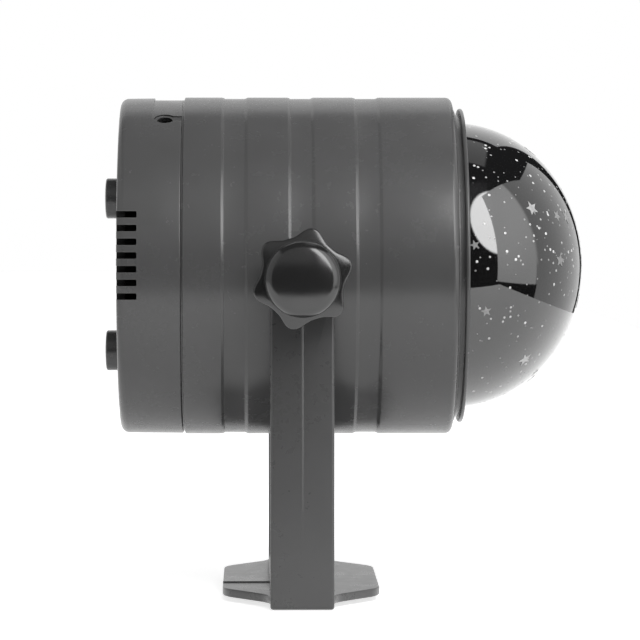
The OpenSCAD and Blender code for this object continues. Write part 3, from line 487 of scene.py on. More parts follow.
def ventTree():
    # a row of slot cutters on one side, copied to the other
    tree, given, geo, calc = newTree("ventRow", Count="Int", Pitch="Float", Size="Vector", Middle="Vector")
    step = add(tree, "ShaderNodeCombineXYZ", {"Z": given["Pitch"]})
    row = geo("MeshLine", {"Count": given["Count"], "Offset": step}, mode="OFFSET")
    back = calc("MULTIPLY", calc("SUBTRACT", given["Count"], 1.0), -0.5)
    lower = add(tree, "ShaderNodeCombineXYZ", {"Z": calc("MULTIPLY", back, given["Pitch"])})
    start = add(tree, "ShaderNodeVectorMath", {0: given["Middle"], 1: lower}, operation="ADD")
    placed = geo("SetPosition", {"Geometry": row, "Offset": start})
    slot = geo("MeshCube", {"Size": given["Size"]})
    slots = geo("InstanceOnPoints", {"Points": placed, "Instance": slot})
    split = add(tree, "ShaderNodeSeparateXYZ", {"Vector": given["Middle"]})
    across = add(tree, "ShaderNodeCombineXYZ", {"Y": calc("MULTIPLY", split.outputs["Y"], -2.0)})
    other = geo("Transform", {"Geometry": slots, "Translation": across})
    return endTree(tree, given, join(tree, slots, other))


def cutKeyhole(piece, c, turn):
    # a pad under the wall, a channel to the front edge, then the recess and the stepped screw hole
    x, floor, half, out = c["keyholeX"], axisZ + c["backR"] - c["recess"], c["channel"] / 2, axisZ + c["outside"]
    reach, (low, high), (small, large) = c["padReach"], c["padR"], c["screwR"]
    pad = blockAt((x - reach, -reach, axisZ + low), (c["frontX"], reach, axisZ + high))
    carve(piece, turned(pad, turn), "UNION")
    carve(piece, turned(blockAt((x + 1, -half, floor), (c["frontX"] + 1, half, out)), turn))
    recess = rounded([(0, floor), (c["keyholeR"], floor, 0.15), (c["keyholeR"], out), (0, out)])
    carve(piece, turned(revolved(recess, 64, upright(x)), turn))
    low, seat, high = axisZ + c["inside"], axisZ + c["seat"], axisZ + c["outside"] - 1
    hole = [(0, low), (small, low), (small, seat), (large, seat), (large, high), (0, high)]
    carve(piece, turned(revolved(hole, 48, upright(x)), turn))


def cutVents(piece, c):
    slots = grow(toObject("vents", bmesh.new()), ventTree(), {
        "Count": c["vents"], "Pitch": c["ventPitch"] * mm,
        "Size": Vector((c["ventLength"] + 1, c["ventDepth"] + 1, c["ventHeight"])) * mm,
        "Middle": Vector((c["backX"] + (c["ventLength"] - 1) / 2, -c["backR"] + (c["ventDepth"] - 1) / 2,
                          c["ventMiddle"])) * mm,
        "Material": finishes["case_plastic"]})
    ends = slots.modifiers.new("roundEnds", "BEVEL")
    ends.width, ends.segments, ends.limit_method = c["ventEnd"] * mm, 3, "NONE"
    carve(piece, applyModifiers(slots))


def inPaintedShade(c, centre, normal):
    # faces that take the painted shade: inside the slots, on the shields behind them and on the walls of the keyholes
    x, y, z = centre
    above, reach = z - c["ventMiddle"], c["vents"] * c["ventPitch"] / 2
    level = (above + reach) % c["ventPitch"] - c["ventPitch"] / 2
    if (c["backX"] + 0.02 < x < c["backX"] + c["ventLength"] + 0.1 and abs(y) > c["backR"] - c["ventDepth"] - 0.1
            and hypot(y, z - axisZ) < c["backR"] - 0.25 and abs(above) < reach
            and abs(level) < c["ventHeight"] / 2 + 0.05):
        return True
    if (abs(abs(y) - c["shieldY"]) < c["shieldThick"] and x > c["innerX"] - 0.01
            and abs(above) < c["shieldHalf"] + 0.1):
        return True
    for side in (-1, 1):
        back = Matrix.Rotation(-radians(side * c["keyholeTurn"]), 3, "X")
        spot, facing = back @ Vector((x, y, z - axisZ)), back @ normal
        away = hypot(spot.x - c["keyholeX"], spot.y)
        if spot.z > c["seat"] - 0.1 and away < c["keyholeR"] + 0.06 and abs(facing.z) < 0.6:
            return True
    return False


def buildCover(c):
    # a ring inside the rim keeps the rounding's shading off the flat back
    outline = rounded([(0, c["backX"]), (c["backR"] - c["edge"] - c["flatMargin"], c["backX"]),
                       (c["backR"], c["backX"], c["edge"]), (c["frontR"], c["frontX"], 0.3),
                       (c["inR"], c["frontX"], 0.2), (c["inR"], c["innerX"], 0.5), (0, c["innerX"])], 7)
    piece = toObject("rearCoverShell", revolved(outline, c["segments"], onBarrel))
    for y in (-c["postY"], c["postY"]):
        for z in (boardZ - c["postZ"], boardZ + c["postZ"]):
            post = rounded(pin(c["postR"], *c["postX"], 0.2))
            carve(piece, revolved(post, 32, alongX(y, z)), "UNION")
            carve(piece, revolved(pin(*c["postHole"]), 24, alongX(y, z)))
    (out, inside), r, edge, (y, z) = c["throughX"], c["buttonHole"], c["chamfer"], c["inlet"]
    flare = c["backX"] - out + edge
    for height in c["buttons"]:
        hole = [(0, out), (r + flare, out), (r + edge, c["backX"]), (r, c["backX"] + edge), (r, inside), (0, inside)]
        carve(piece, revolved(hole, 64, onButton(height)))
    carve(piece, blockAt((out, -y, boardZ - z), (inside, y, boardZ + z)))
    for side in (-1, 1):
        middle, half = side * c["shieldY"], c["shieldThick"] / 2
        shield = blockAt((c["innerX"] - 1, middle - half, c["ventMiddle"] - c["shieldHalf"]),
                         (c["shieldX"], middle + half, c["ventMiddle"] + c["shieldHalf"]))
        carve(piece, shield, "UNION")
        cutKeyhole(piece, c, side * c["keyholeTurn"])
    # a shallow pocket across the top from one keyhole to the other
    spread, steps, floor = radians(c["keyholeTurn"]), c["pocketSteps"], c["backR"] - c["pocketDepth"]
    turns = [-spread + 2 * spread * k / steps for k in range(steps + 1)]
    ring = [(floor, a) for a in turns] + [(c["pocketOut"], a) for a in reversed(turns)]
    carve(piece, lofted([[Vector((x, r * sin(a), axisZ + r * cos(a))) * mm for r, a in ring]
                         for x in (c["frontX"] - c["pocket"], c["frontX"] + 1)]))
    cutVents(piece, c)
    dress(piece, "head", ["rear_cover"], "case_plastic")
    # painted shade: faces in the slots, on the shields and on the keyhole walls take the near-black plastic
    piece.data.materials.append(paintedDeepShade)
    for face in piece.data.polygons:
        if inPaintedShade(c, face.center / mm, face.normal):
            face.material_index = 1


buildCover(cover)
print("rear cover done")


# buttons

button = {"r": 5.25, "tipX": -51, "edge": 0.55, "crown": 0.3, "rimX": -44.3, "flange": 1.1, "stem": 2.2,
          "plungerX": -42.2}


def buildButton(name, height, b):
    r, rim, rimX, top = b["r"], b["r"] + b["flange"], b["rimX"], b["tipX"] + b["crown"] + 0.05
    crown = [(r * s, b["tipX"] + b["crown"] * s * s) for s in (0.15, 0.3, 0.45, 0.6, 0.75)]
    line = [(0, b["tipX"])] + crown + [
        (r, top, b["edge"]), (r, rimX), (rim, rimX, 0.2), (rim, rimX + 1, 0.2), (b["stem"], rimX + 1),
        (b["stem"], b["plungerX"]), (0, b["plungerX"])]
    piece = toObject(name + "Cap", revolved(rounded(line, 6), 96, onButton(height)))
    dress(piece, name, [name], "case_plastic")


for name, height in zip(("upper_button", "lower_button"), cover["buttons"]):
    buildButton(name, height, button)


# front lip and turntable

bezel = {"bore": 39, "seat": 41.7, "seatX": 39.3, "lipR": 41, "lipX": 40.1, "rearX": 37.2, "segments": 256}


def buildBezel(b):
    line = [(b["bore"], b["rearX"]), (b["seat"], b["rearX"]), (b["seat"], b["seatX"]),
            (b["lipR"], b["seatX"], 0.15), (b["lipR"], b["lipX"], 0.3), (b["bore"], b["lipX"], 0.15)]
    piece = toObject("frontLip", revolved(rounded(line), b["segments"], onBarrel))
    dress(piece, "head", ["front_bezel"], "case_plastic")


buildBezel(bezel)

flange = {"r": 41.1, "backX": 41.3, "frontX": 42.4, "edge": 0.5, "seatR": 37.5, "seatInR": 35.6, "seatX": 41.6,
          "rimR": 34.8, "skirtR": 38.92, "stepR": 39.4, "stepX": 40.2, "skirtX": 35.6, "clipX": 36.8, "clipR": 38.22,
          "teeth": 74, "module": 0.9, "pitchR": 33.3, "pressure": 25, "tip": 0.6, "root": 1, "slack": 0.06,
          "gearDepth": 4, "segments": 296}


def toothPoints(f, steps=4):
    # involute tooth gaps round a ring gear, as one outline
    pressure, teeth, pitchR = radians(f["pressure"]), f["teeth"], f["pitchR"]
    involute = lambda a: tan(a) - a
    half = lambda r: (pi / 2 / teeth + f["slack"] / pitchR + involute(pressure)
                      - involute(acos(min(1, pitchR * cos(pressure) / r))))
    low, high = pitchR - f["tip"] * f["module"], pitchR + f["root"] * f["module"]
    points = []
    for i in range(teeth):
        for edge in (-1, 1):
            for j in range(steps + 1):
                k = j if edge < 0 else steps - j
                r = low + (high - low) * k / steps
                a = 2 * pi * i / teeth + edge * half(r)
                points.append((r * cos(a), r * sin(a)))
    return points


def buildTurntable(f):
    inner, gearEnd = f["pitchR"] - f["module"], f["skirtX"] + f["gearDepth"]
    line = [(inner, f["skirtX"]), (f["clipR"], f["skirtX"], 0.1), (f["clipR"], f["clipX"]),
            (f["skirtR"], f["clipX"], 0.1), (f["skirtR"], f["stepX"]), (f["stepR"], f["stepX"]),
            (f["stepR"], f["backX"]), (f["r"], f["backX"], f["edge"]), (f["r"], f["frontX"], f["edge"]),
            (f["seatR"], f["frontX"], 0.15), (f["seatR"], f["seatX"]), (f["seatInR"], f["seatX"]),
            (f["seatInR"], f["frontX"], 0.1), (f["rimR"], f["frontX"], 0.2), (f["rimR"], gearEnd), (inner, gearEnd)]
    piece = toObject("turntableRing", revolved(rounded(line), f["segments"], onBarrel))
    # the CAD's own z across turns to -Z here, so a tooth gap points straight down as there
    outline = toothPoints(f)
    carve(piece, lofted([[Vector((x, b, axisZ - a)) * mm for a, b in outline]
                         for x in (f["skirtX"] - 1, gearEnd + 0.4)]))
    dress(piece, "dome", ["turntable"], "case_plastic")


buildTurntable(flange)
print("turntable done")


# star dome

dome = {"midX": 40.1, "depth": 33.87, "r": 37.37, "wall": 1.57, "cutX": 41.65, "rows": 56, "segments": 224}
stars = {
    "dots": 700, "dotSize": 0.34, "faintShare": 0.5, "stars": 30, "starSize": 1.75, "starFaintShare": 0.8,
    "seed": 3, "margin": 1.4, "groundSegments": 96,
}


def ellipseSide(r, depth, d):
    start = asin((d["cutX"] - d["midX"]) / depth)
    turns = [start + (pi / 2 - start) * i / d["rows"] for i in range(d["rows"] + 1)]
    return [(0 if i == d["rows"] else r * cos(a), d["midX"] + depth * sin(a)) for i, a in enumerate(turns)]


def buildDome(d):
    outer = ellipseSide(d["r"], d["depth"], d)
    inner = ellipseSide(d["r"] - d["wall"], d["depth"] - d["wall"], d)
    piece = toObject("domeShell", revolved(outer + inner[::-1], d["segments"], onBarrel))
    dress(piece, "dome", ["star_dome"], "smoked_dome", degrees=40)


def starTree():
    # scatters lens-shaped dots and five-pointed stars over a surface, each with its own share of painted light seen
    # through it
    tree, given, geo, calc = newTree("starField", Dots="Float", Dot_size="Float", Stars="Float", Star_size="Float",
                                     Faint_dots="Float", Faint_stars="Float", Seed="Int")
    ground = given["Geometry"]
    lens = geo("MeshUVSphere", {"Segments": 8, "Rings": 4, "Radius": 1.0})
    flat = geo("Transform", {"Geometry": lens, "Scale": (1, 1, 0.1)})
    spark = geo("CurveStar", {"Points": 5, "Inner Radius": 0.42, "Outer Radius": 1.0})
    leaf = geo("FillCurve", {"Curve": spark}, mode="NGONS")
    solid = geo("ExtrudeMesh", {"Mesh": leaf, "Offset Scale": 0.03})
    pair = join(tree, solid, geo("FlipFaces", {"Mesh": leaf}))
    prism = geo("MergeByDistance", {"Geometry": pair, "Distance": 0.001})
    kinds = []
    for number, size, faint, shape, least, extra in (("Dots", "Dot size", "Faint dots", flat, 0.55, 0.0),
                                                     ("Stars", "Star size", "Faint stars", prism, 0.7, 5.0)):
        seed = calc("ADD", given["Seed"], extra)
        area = geo("AttributeStatistic", {
            "Geometry": ground, "Attribute": geo("InputMeshFaceArea")}, domain="FACE")
        density = calc("DIVIDE", given[number], area.outputs["Sum"])
        spots = geo("DistributePointsOnFaces", {"Mesh": ground, "Density": density, "Seed": seed})
        spin = add(tree, "FunctionNodeRandomValue", {"Max": (0, 0, 6.283), "Seed": seed}, data_type="FLOAT_VECTOR")
        whirl = add(tree, "FunctionNodeRotateRotation", {
            "Rotation": spots.outputs["Rotation"], 1: add(tree, "FunctionNodeEulerToRotation", {0: spin})},
            rotation_space="LOCAL")
        scale = add(tree, "FunctionNodeRandomValue", {2: least, 3: 1.25, "Seed": seed}, data_type="FLOAT").outputs[1]
        copies = geo("InstanceOnPoints", {
            "Points": spots, "Instance": shape, "Rotation": whirl,
            "Scale": calc("MULTIPLY", scale, given[size])})
        chance = add(tree, "FunctionNodeRandomValue", {"Seed": seed}, data_type="FLOAT").outputs[1]
        bright = add(tree, "ShaderNodeMapRange", {"Value": chance, "From Min": given[faint], "To Max": 1.0})
        kinds.append(geo("StoreNamedAttribute", {
            "Geometry": copies, "Name": "clearness", "Value": bright}, data_type="FLOAT", domain="INSTANCE"))
    return endTree(tree, given, join(tree, *kinds))


def buildStars(d, s):
    rows = [(r, x) for r, x in ellipseSide(d["r"], d["depth"], d) if x > d["cutX"] + s["margin"]]
    ground = revolved(rows, s["groundSegments"], onBarrel, closed=False)
    middle = Vector((d["midX"], 0, axisZ)) * mm
    ground.normal_update()
    bmesh.ops.reverse_faces(
        ground, faces=[f for f in ground.faces if f.normal.dot(f.calc_center_median() - middle) < 0])
    piece = linked("domeWindows", ground)
    grow(piece, starTree(), {
        "Dots": float(s["dots"]), "Dot size": s["dotSize"] * mm, "Stars": float(s["stars"]),
        "Star size": s["starSize"] * mm, "Faint dots": s["faintShare"], "Faint stars": s["starFaintShare"],
        "Seed": s["seed"], "Material": windows})
    print("windows in the dome:", len(piece.data.polygons), "faces")
    dress(piece, "dome", [], "clear_plastic", windows, 40)


buildDome(dome)
buildStars(dome, stars)
print("dome done")


# clamp knobs

knob = {
    "lobes": 6, "tipR": 12.8, "hollowR": 10.5, "sharpness": 1.5, "turn": 18, "baseY": 51.55, "thick": 4.6,
    "edge": 0.45, "slope": 12, "capR": 9.45, "capEdge": 2.8, "crownR": 27, "capTop": 63.15, "capInset": 0.15,
    "boreR": 2.55, "boreEnd": 59.55, "around": 288, "capSegments": 128,
}


def lobeTree():
    # a circle whose radius swells into lobes, filled and drawn out to a plate
    tree, given, geo, calc = newTree("lobedPlate", Lobes="Int", Tip_radius="Float", Hollow_radius="Float",
                                     Sharpness="Float", Turn="Float", Thickness="Float", Fall="Float",
                                     Flat_radius="Float", Around="Int")

    def place():
        spot = geo("InputPosition")
        return spot, add(tree, "ShaderNodeSeparateXYZ", {"Vector": spot}).outputs

    circle = geo("MeshCircle", {"Vertices": given["Around"], "Radius": 1.0}, fill_type="NGON")
    spot, part = place()
    angle = calc("ARCTAN2", part["Y"], part["X"])
    wave = calc("COSINE", calc("MULTIPLY", calc("SUBTRACT", angle, given["Turn"]), given["Lobes"]))
    share = calc("POWER", calc("MULTIPLY", calc("ADD", wave, 1.0), 0.5), given["Sharpness"])
    swell = calc("MULTIPLY", share, calc("SUBTRACT", given["Tip radius"], given["Hollow radius"]))
    radius = calc("ADD", given["Hollow radius"], swell)
    reach = add(tree, "ShaderNodeVectorMath", {0: spot, "Scale": radius}, operation="SCALE")
    lobed = geo("SetPosition", {"Geometry": circle, "Position": reach})
    plate = geo("ExtrudeMesh", {"Mesh": lobed, "Offset Scale": given["Thickness"]})
    # the face falls away from the cap: its rim sinks, and a ring is drawn in to the flat middle
    sink = add(tree, "ShaderNodeCombineXYZ", {
        "Z": calc("MULTIPLY", calc("SUBTRACT", given["Flat radius"], radius), given["Fall"])})
    sloped = geo("SetPosition", {
        "Geometry": plate, "Selection": plate.outputs["Top"], "Offset": sink})
    inner = geo("ExtrudeMesh", {
        "Mesh": sloped, "Selection": plate.outputs["Top"], "Offset Scale": 0.0})
    part = place()[1]
    away = calc("SQRT", calc("ADD", calc("MULTIPLY", part["X"], part["X"]), calc("MULTIPLY", part["Y"], part["Y"])))
    pull = calc("DIVIDE", given["Flat radius"], away)
    middle = add(tree, "ShaderNodeCombineXYZ", {
        "X": calc("MULTIPLY", part["X"], pull), "Y": calc("MULTIPLY", part["Y"], pull), "Z": given["Thickness"]})
    drawnIn = geo("SetPosition", {
        "Geometry": inner, "Selection": inner.outputs["Top"], "Position": middle})
    pair = join(tree, drawnIn, geo("FlipFaces", {"Mesh": lobed}))
    closed = geo("MergeByDistance", {"Geometry": pair, "Distance": 0.000001})
    return endTree(tree, given, closed)


def buildKnob(name, side, tree, k):
    piece = grow(toObject(name + "Grip", bmesh.new()), tree, {
        "Lobes": k["lobes"], "Tip radius": k["tipR"] * mm, "Hollow radius": k["hollowR"] * mm,
        "Sharpness": k["sharpness"], "Turn": radians(k["turn"]), "Thickness": k["thick"] * mm,
        "Fall": tan(radians(k["slope"])), "Flat radius": (k["capR"] - k["capInset"]) * mm,
        "Around": k["around"], "Material": finishes["knob_plastic"]})
    soft = piece.modifiers.new("roundEdges", "BEVEL")
    soft.width, soft.segments, soft.limit_method, soft.angle_limit = k["edge"] * mm, 4, "ANGLE", radians(60)
    applyModifiers(piece)
    # the plate is drawn with its own z outward: local x runs along X, local y down for the near side
    stand = Matrix(((1, 0, 0), (0, 0, side), (0, -side, 0))).to_4x4()
    piece.data.transform(Matrix.Translation(Vector((0, side * k["baseY"], pivotZ)) * mm) @ stand)
    # a straight side, a rounded shoulder and a shallow crown, one tangent to the next
    base, edge, crown, top = k["baseY"], k["capEdge"], k["crownR"], k["capTop"]
    inset, reach, middle = k["capR"] - edge, crown - edge, top - crown
    fall = sqrt(reach ** 2 - inset ** 2)
    turn = asin(fall / reach)
    cap = [(0, base + 1), (k["capR"], base + 1)]
    cap += [(inset + edge * cos(a), middle + fall + edge * sin(a)) for a in (turn * i / 8 for i in range(9))]
    cap += [(crown * cos(a), middle + crown * sin(a))
            for a in (turn + (pi / 2 - turn) * i / 16 for i in range(1, 16))] + [(0, top)]
    carve(piece, revolved(cap, k["capSegments"], outward(side)), "UNION")
    carve(piece, revolved(pin(k["boreR"], base - 1, k["boreEnd"]), 48, outward(side)))
    dress(piece, name, [name], "knob_plastic", degrees=35)


grip = lobeTree()
buildKnob("knob_right", -1, grip, knob)
buildKnob("knob_left", 1, grip, knob)
print("knobs done")


# forked stand

fork = {
    "width": 16, "inY": 46, "outY": 50, "edge": 0.8, "heelZ": 0.2, "stripTop": 4.2, "innerR": 3, "outerR": 1.2,
    "ridge": 0.2, "ridgeHalf": 0.35, "ridgeLength": 57, "bossR": 9, "bossOut": 50.6, "holeR": 2.6,
}
foot = {
    "length": 40.2, "slopeLength": 26.8, "cornerR": 12, "flareR": 14, "flareInset": 2, "z": 1.2, "top": 3.35,
    "edge": 0.3, "underEdge": 0.45, "recess": (6.5, 45.5), "padDepth": 0.5,
    "ribY": -14.6, "ribWidth": 0.5, "ribHeight": 0.35, "ribRoot": 0.6,
    "screwY": 15, "screwR": 2.25, "sinkR": 3.9, "sinkDepth": 1.2,
}


def armSection(outer, inner, width, ridge, f, steps=4):
    # a rounded rectangle from the outer line to the inner one, with a fine ridge down its outer face
    thick = (outer - inner).length
    away = (outer - inner) / thick
    edge = min(f["edge"], width * 0.49, thick * 0.45)
    half, points = width / 2, []
    fine = min(f["ridgeHalf"], width * 0.2)
    for sx, st in ((1, 1), (-1, 1), (-1, -1), (1, -1)):
        centre = (sx * (half - edge), (thick - edge if st > 0 else edge))
        for i in range(steps + 1):
            a = pi / 2 * i / steps
            dx, dt = (cos(a), sin(a)) if sx * st > 0 else (sin(a), cos(a))
            points.append((centre[0] + sx * edge * dx, centre[1] + st * edge * dt))
        # the ridge, and points across the inner face to match it
        if sx == st:
            level, rise = (thick, ridge) if sx > 0 else (0, 0)
            points += [(sx * x, level + rise * (x == 0)) for x in (fine * 1.6, fine, 0, -fine, -fine * 1.6)]
    return [Vector((x, inner[0] + away[0] * t, inner[1] + away[1] * t)) * mm for x, t in points]


def armStations(f):
    # outer point, inner point, width and ridge height, from the arm's round top down into the strip
    half, stations, count = f["width"] / 2, [], 13
    for i in range(count):
        rise = half * cos(pi / 2 * (i + 0.35) / (count - 0.65))
        width = 2 * sqrt(max(half ** 2 - rise ** 2, 0.02))
        stations.append(((f["outY"], pivotZ + rise), (f["inY"], pivotZ + rise), width, f["ridge"]))
    for drop, ridge in ((f["ridgeLength"] / 2, 1), (f["ridgeLength"], 1), (f["ridgeLength"] + 2, 0)):
        z = pivotZ - drop
        stations.append(((f["outY"], z), (f["inY"], z), f["width"], f["ridge"] * ridge))
    for a in (pi / 2 * i / 8 for i in range(9)):
        outer = (f["outY"] - f["outerR"] * (1 - cos(a)), f["heelZ"] + f["outerR"] - f["outerR"] * sin(a))
        inner = (f["inY"] - f["innerR"] * (1 - cos(a)), f["stripTop"] + f["innerR"] * (1 - sin(a)))
        stations.append((outer, inner, f["width"], 0))
    return stations + [((-o[0], o[1]), (-i[0], i[1]), w, r) for o, i, w, r in reversed(stations)]


def buildStand(f, g):
    rings = [armSection(Vector(outer), Vector(inner), width, ridge, f) for outer, inner, width, ridge in armStations(f)]
    piece = toObject("forkStand", lofted(rings))
    inY, out, wide, across, along = f["inY"], f["bossOut"], f["width"], *g["recess"]
    for side in (-1, 1):
        carve(piece, revolved(rounded(pin(f["bossR"], inY + 1, out, 0.3)), 96, outward(side)), "UNION")
        carve(piece, revolved(pin(f["holeR"], inY - 1, out + 1), 48, outward(side)))
    # the strip's underside lies level with the wings', so only the heels reach down beside the foam pad
    carve(piece, blockAt((-wide, -inY, g["z"] - 3), (wide, inY, g["z"])))
    carve(piece, footPlate(g, f), "UNION")
    carve(piece, blockAt((-across, -along, g["z"] - 1), (across, along, g["z"] + g["padDepth"])))
    top, r, sink = f["stripTop"], g["screwR"], g["sinkR"]
    hole = [(0, -1), (r, -1), (r, top - g["sinkDepth"]), (sink, top), (sink + 1, top + 1), (0, top + 1)]
    for side in (-1, 1):
        carve(piece, revolved(hole, 48, upright(0, side * g["screwY"])))
    rib = blockAt((-g["length"] / 2, g["ribY"], g["top"] - g["ribRoot"]),
                  (-wide / 2 + 1, g["ribY"] + g["ribWidth"], g["top"] + g["ribHeight"]))
    carve(piece, rib, "UNION")
    dress(piece, "stand", ["stand"], "stand_plastic", degrees=25)


def footOutline(g, f, inset, steps=14):
    # one quarter: a rounded wing tip running into a hollow flare beside the arm, then mirrored round
    corner = Vector((g["length"] / 2 - g["cornerR"], f["outY"] - g["slopeLength"]))
    flare = Vector((f["width"] / 2 + g["flareR"], f["outY"] - g["flareInset"]))
    way = flare - corner
    lean = atan2(way.y, way.x) - acos((g["cornerR"] + g["flareR"]) / way.length)

    def arc(middle, r, start, end):
        return [middle + r * Vector((cos(a), sin(a)))
                for a in (start + (end - start) * i / steps for i in range(steps + 1))]

    quarter = (arc(corner, g["cornerR"] - inset, 0, lean)
               + arc(flare, g["flareR"] + inset, pi + lean, pi))
    return [(sx * p.x, sy * p.y) for sx, sy in ((1, 1), (-1, 1), (-1, -1), (1, -1)) for p in quarter[::sx * sy]]


def footPlate(g, f):
    # both edges rounded, from the underside up
    turns = [pi / 2 * i / 4 for i in range(5)]
    under, edge = g["underEdge"], g["edge"]
    rows = [(under * (1 - sin(a)), g["z"] + under * (1 - cos(a))) for a in turns]
    rows += [(edge * (1 - cos(a)), g["top"] - edge * (1 - sin(a))) for a in turns]
    return lofted([[Vector((x, y, z)) * mm for x, y in footOutline(g, f, inset)] for inset, z in rows])


buildStand(fork, foot)
print("stand done")


# floor, studio and camera

studio = {
    "floorX": (-0.8, 0.29), "floorY": (-0.3, 4.0), "floorTone": 0.72, "floorGlow": 0.73,
    "surround": 0.44, "cameraSide": 0.12, "cameraWay": (5, -5),
    "keyAt": (22, 50), "keyAway": 0.75, "keyTarget": (0.04, 0, 0.085), "keySize": 0.5, "keyPower": 5.5,
    "cameraAt": (-0.0118, -0.930, 0.1027), "cameraLook": (0.0053, 0, 0.0709), "lens": 199.3,
}
# what gloss shows round the object, from the back forward: a panel stands at an azimuth or hangs overhead, spans
# (across, up) as shares of its distance, and may lean over with height; a lamp is round
surroundings = {
    "room": 0.012,
    "panels": (
        {"faces": 180, "across": (-0.3, 0.8), "up": (-0.5, 1.2), "level": 0.9, "lean": 0.25},
        {"faces": "overhead", "across": (0.1, 0.385), "up": (0.06, 0.7), "level": 0.45, "soft": (0.02, 0.02)},
        {"faces": -90, "across": (-1.6, 1.0), "up": (-0.7, 1.2), "level": 0.55, "soft": (0.1, 0.1)},
        {"faces": -10, "across": (-0.8, 0.4), "up": (0.28, 1.4), "level": 0.35, "soft": (0.1, 0.1)},
        {"lamp": (45, 33), "radius": 24, "level": 7.2},
        {"faces": 90, "across": (-0.123, 2.2), "up": (-0.37, 1.035), "level": 0.85, "lean": 0.8},
        {"faces": 60, "across": (0.2, 1.19), "up": (0.6, 1.5), "level": 0.85},
        {"faces": 60, "across": (-0.37, 0.41), "up": (-0.2, 1.5), "level": 1.65, "soft": (0.01, 0.05), "glow": 0.6},
    ),
}


def straightRays(tree):
    # rays from the camera, and what they meet in gloss and glass
    path = add(tree, "ShaderNodeLightPath").outputs
    return maths(tree, "MAXIMUM", path["Is Camera Ray"],
                 maths(tree, "MAXIMUM", path["Is Glossy Ray"], path["Is Transmission Ray"]))


def buildFloor(s):
    (left, right), (near, far) = s["floorX"], s["floorY"]
    bm = bmesh.new()
    bm.faces.new([bm.verts.new((x, y, 0)) for x, y in ((left, near), (right, near), (right, far), (left, far))])
    floor = toObject("floor", bm)
    made, tree, place = startMaterial("paleFloor")
    shader = tree.nodes["Principled BSDF"].inputs
    tone = mottle(tree, noiseAt(tree, place, 3), grey(s["floorTone"]), grey(s["floorTone"] + 0.02))
    tree.links.new(tone, shader["Base Color"])
    shader["Roughness"].default_value = 0.7
    shader["Emission Color"].default_value = (1, 1, 1, 1)
    tree.links.new(maths(tree, "MULTIPLY", straightRays(tree), s["floorGlow"]), shader["Emission Strength"])
    floor.data.materials.append(made)


def towards(azimuth, elevation=0):
    # azimuth from the camera's side, turning toward the dome
    a, e = radians(azimuth), radians(elevation)
    return Vector((sin(a) * cos(e), -cos(a) * cos(e), sin(e)))


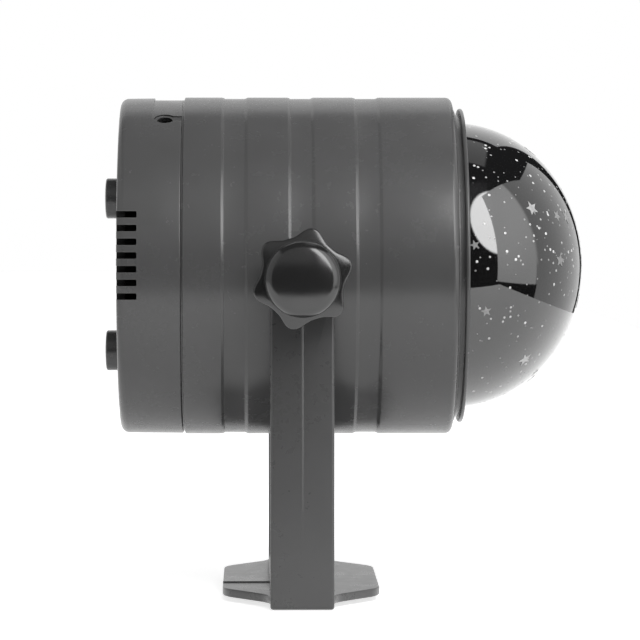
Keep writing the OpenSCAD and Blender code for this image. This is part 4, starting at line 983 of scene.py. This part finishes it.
def buildWorld(s, around):
    # a white backdrop for the camera; gloss shows the studio's panels and the dark room between them
    world = bpy.data.worlds.new("lightTent")
    bpy.context.scene.world = world
    world.use_nodes = True
    tree = world.node_tree
    tree.nodes.clear()
    way = add(tree, "ShaderNodeTexCoord").outputs["Generated"]

    calc = partial(maths, tree)

    def along(direction):
        return add(tree, "ShaderNodeVectorMath", {0: way, 1: direction}, operation="DOT_PRODUCT").outputs["Value"]

    def ramp(value, low, high, start=0.0, end=1.0):
        return add(tree, "ShaderNodeMapRange", {
            "Value": value, "From Min": low, "From Max": high, "To Min": start, "To Max": end},
            interpolation_type="SMOOTHSTEP").outputs["Result"]

    def within(value, span, first, last):
        (low, high) = span
        return calc("MULTIPLY", ramp(value, low - first, low + first), ramp(value, high - last, high + last, 1.0, 0.0))

    def choose(share, first, second):
        return add(tree, "ShaderNodeMix", {0: share, 2: first, 3: second}, data_type="FLOAT")

    def panelMask(panel):
        if panel["faces"] == "overhead":
            forward, right, up = Vector((0, 0, 1)), Vector((1, 0, 0)), Vector((0, 1, 0))
        else:
            forward, right, up = towards(panel["faces"]), towards(panel["faces"] + 90), Vector((0, 0, 1))
        depth = along(forward)
        reach = calc("MAXIMUM", depth, 0.001)
        across, height = (calc("DIVIDE", along(axis), reach) for axis in (right, up))
        if "lean" in panel:
            across = calc("ADD", across, calc("MULTIPLY", calc("MAXIMUM", height, 0.0), panel["lean"]))
        first, last = panel.get("soft", (0.01, 0.01))
        inside = calc("MULTIPLY", within(across, panel["across"], first, last),
                      within(height, panel["up"], first, first))
        return calc("MULTIPLY", calc("GREATER_THAN", depth, 0.001), inside)

    lamp = next(p for p in around["panels"] if "lamp" in p)
    nearLamp = calc("ARCCOSINE", along(towards(*lamp["lamp"])))
    level = around["room"]
    for panel in around["panels"]:
        strength = panel["level"]
        if "lamp" in panel:
            edge = radians(panel["radius"])
            mask = ramp(nearLamp, edge - 0.02, edge + 0.02, 1.0, 0.0)
        else:
            mask = panelMask(panel)
        if "glow" in panel:
            # the lamp shines through the side of this one
            strength = ramp(nearLamp, 0.2, 0.95, strength + panel["glow"], strength)
        level = calc("ADD", calc("MULTIPLY", level, calc("SUBTRACT", 1.0, mask)), calc("MULTIPLY", mask, strength))
    # the room lights from all round, but less from behind the camera
    room = ramp(along(towards(*s["cameraWay"])), 0.3, 1.0, s["surround"], s["cameraSide"])
    seen = choose(add(tree, "ShaderNodeLightPath").outputs["Is Glossy Ray"], 1, level)
    light = add(tree, "ShaderNodeBackground", {
        "Color": (1, 1, 1, 1), "Strength": choose(straightRays(tree), room, seen)})
    add(tree, "ShaderNodeOutputWorld", {"Surface": light})


def placed(name, data, at, target):
    made = bpy.data.objects.new(name, data)
    bpy.context.scene.collection.objects.link(made)
    made.location = at
    made.rotation_euler = (Vector(target) - Vector(at)).to_track_quat("-Z", "Y").to_euler()
    return made


def buildKey(s):
    light = bpy.data.lights.new("keySoftbox", "AREA")
    light.size, light.energy = s["keySize"], s["keyPower"]
    middle = Vector(s["keyTarget"])
    lamp = placed("keySoftbox", light, middle + s["keyAway"] * towards(*s["keyAt"]), middle)
    lamp.visible_camera = lamp.visible_glossy = False    # gloss shows it among the surroundings


def buildCamera(s):
    camera = bpy.data.cameras.new("camera")
    camera.lens, camera.sensor_width = s["lens"], 36
    camera.clip_start, camera.clip_end = 0.01, 50
    bpy.context.scene.camera = placed("camera", camera, s["cameraAt"], s["cameraLook"])


buildFloor(studio)
buildWorld(studio, surroundings)
buildKey(studio)
buildCamera(studio)
bpy.context.scene.view_settings.view_transform = "Standard"
print("studio ready")
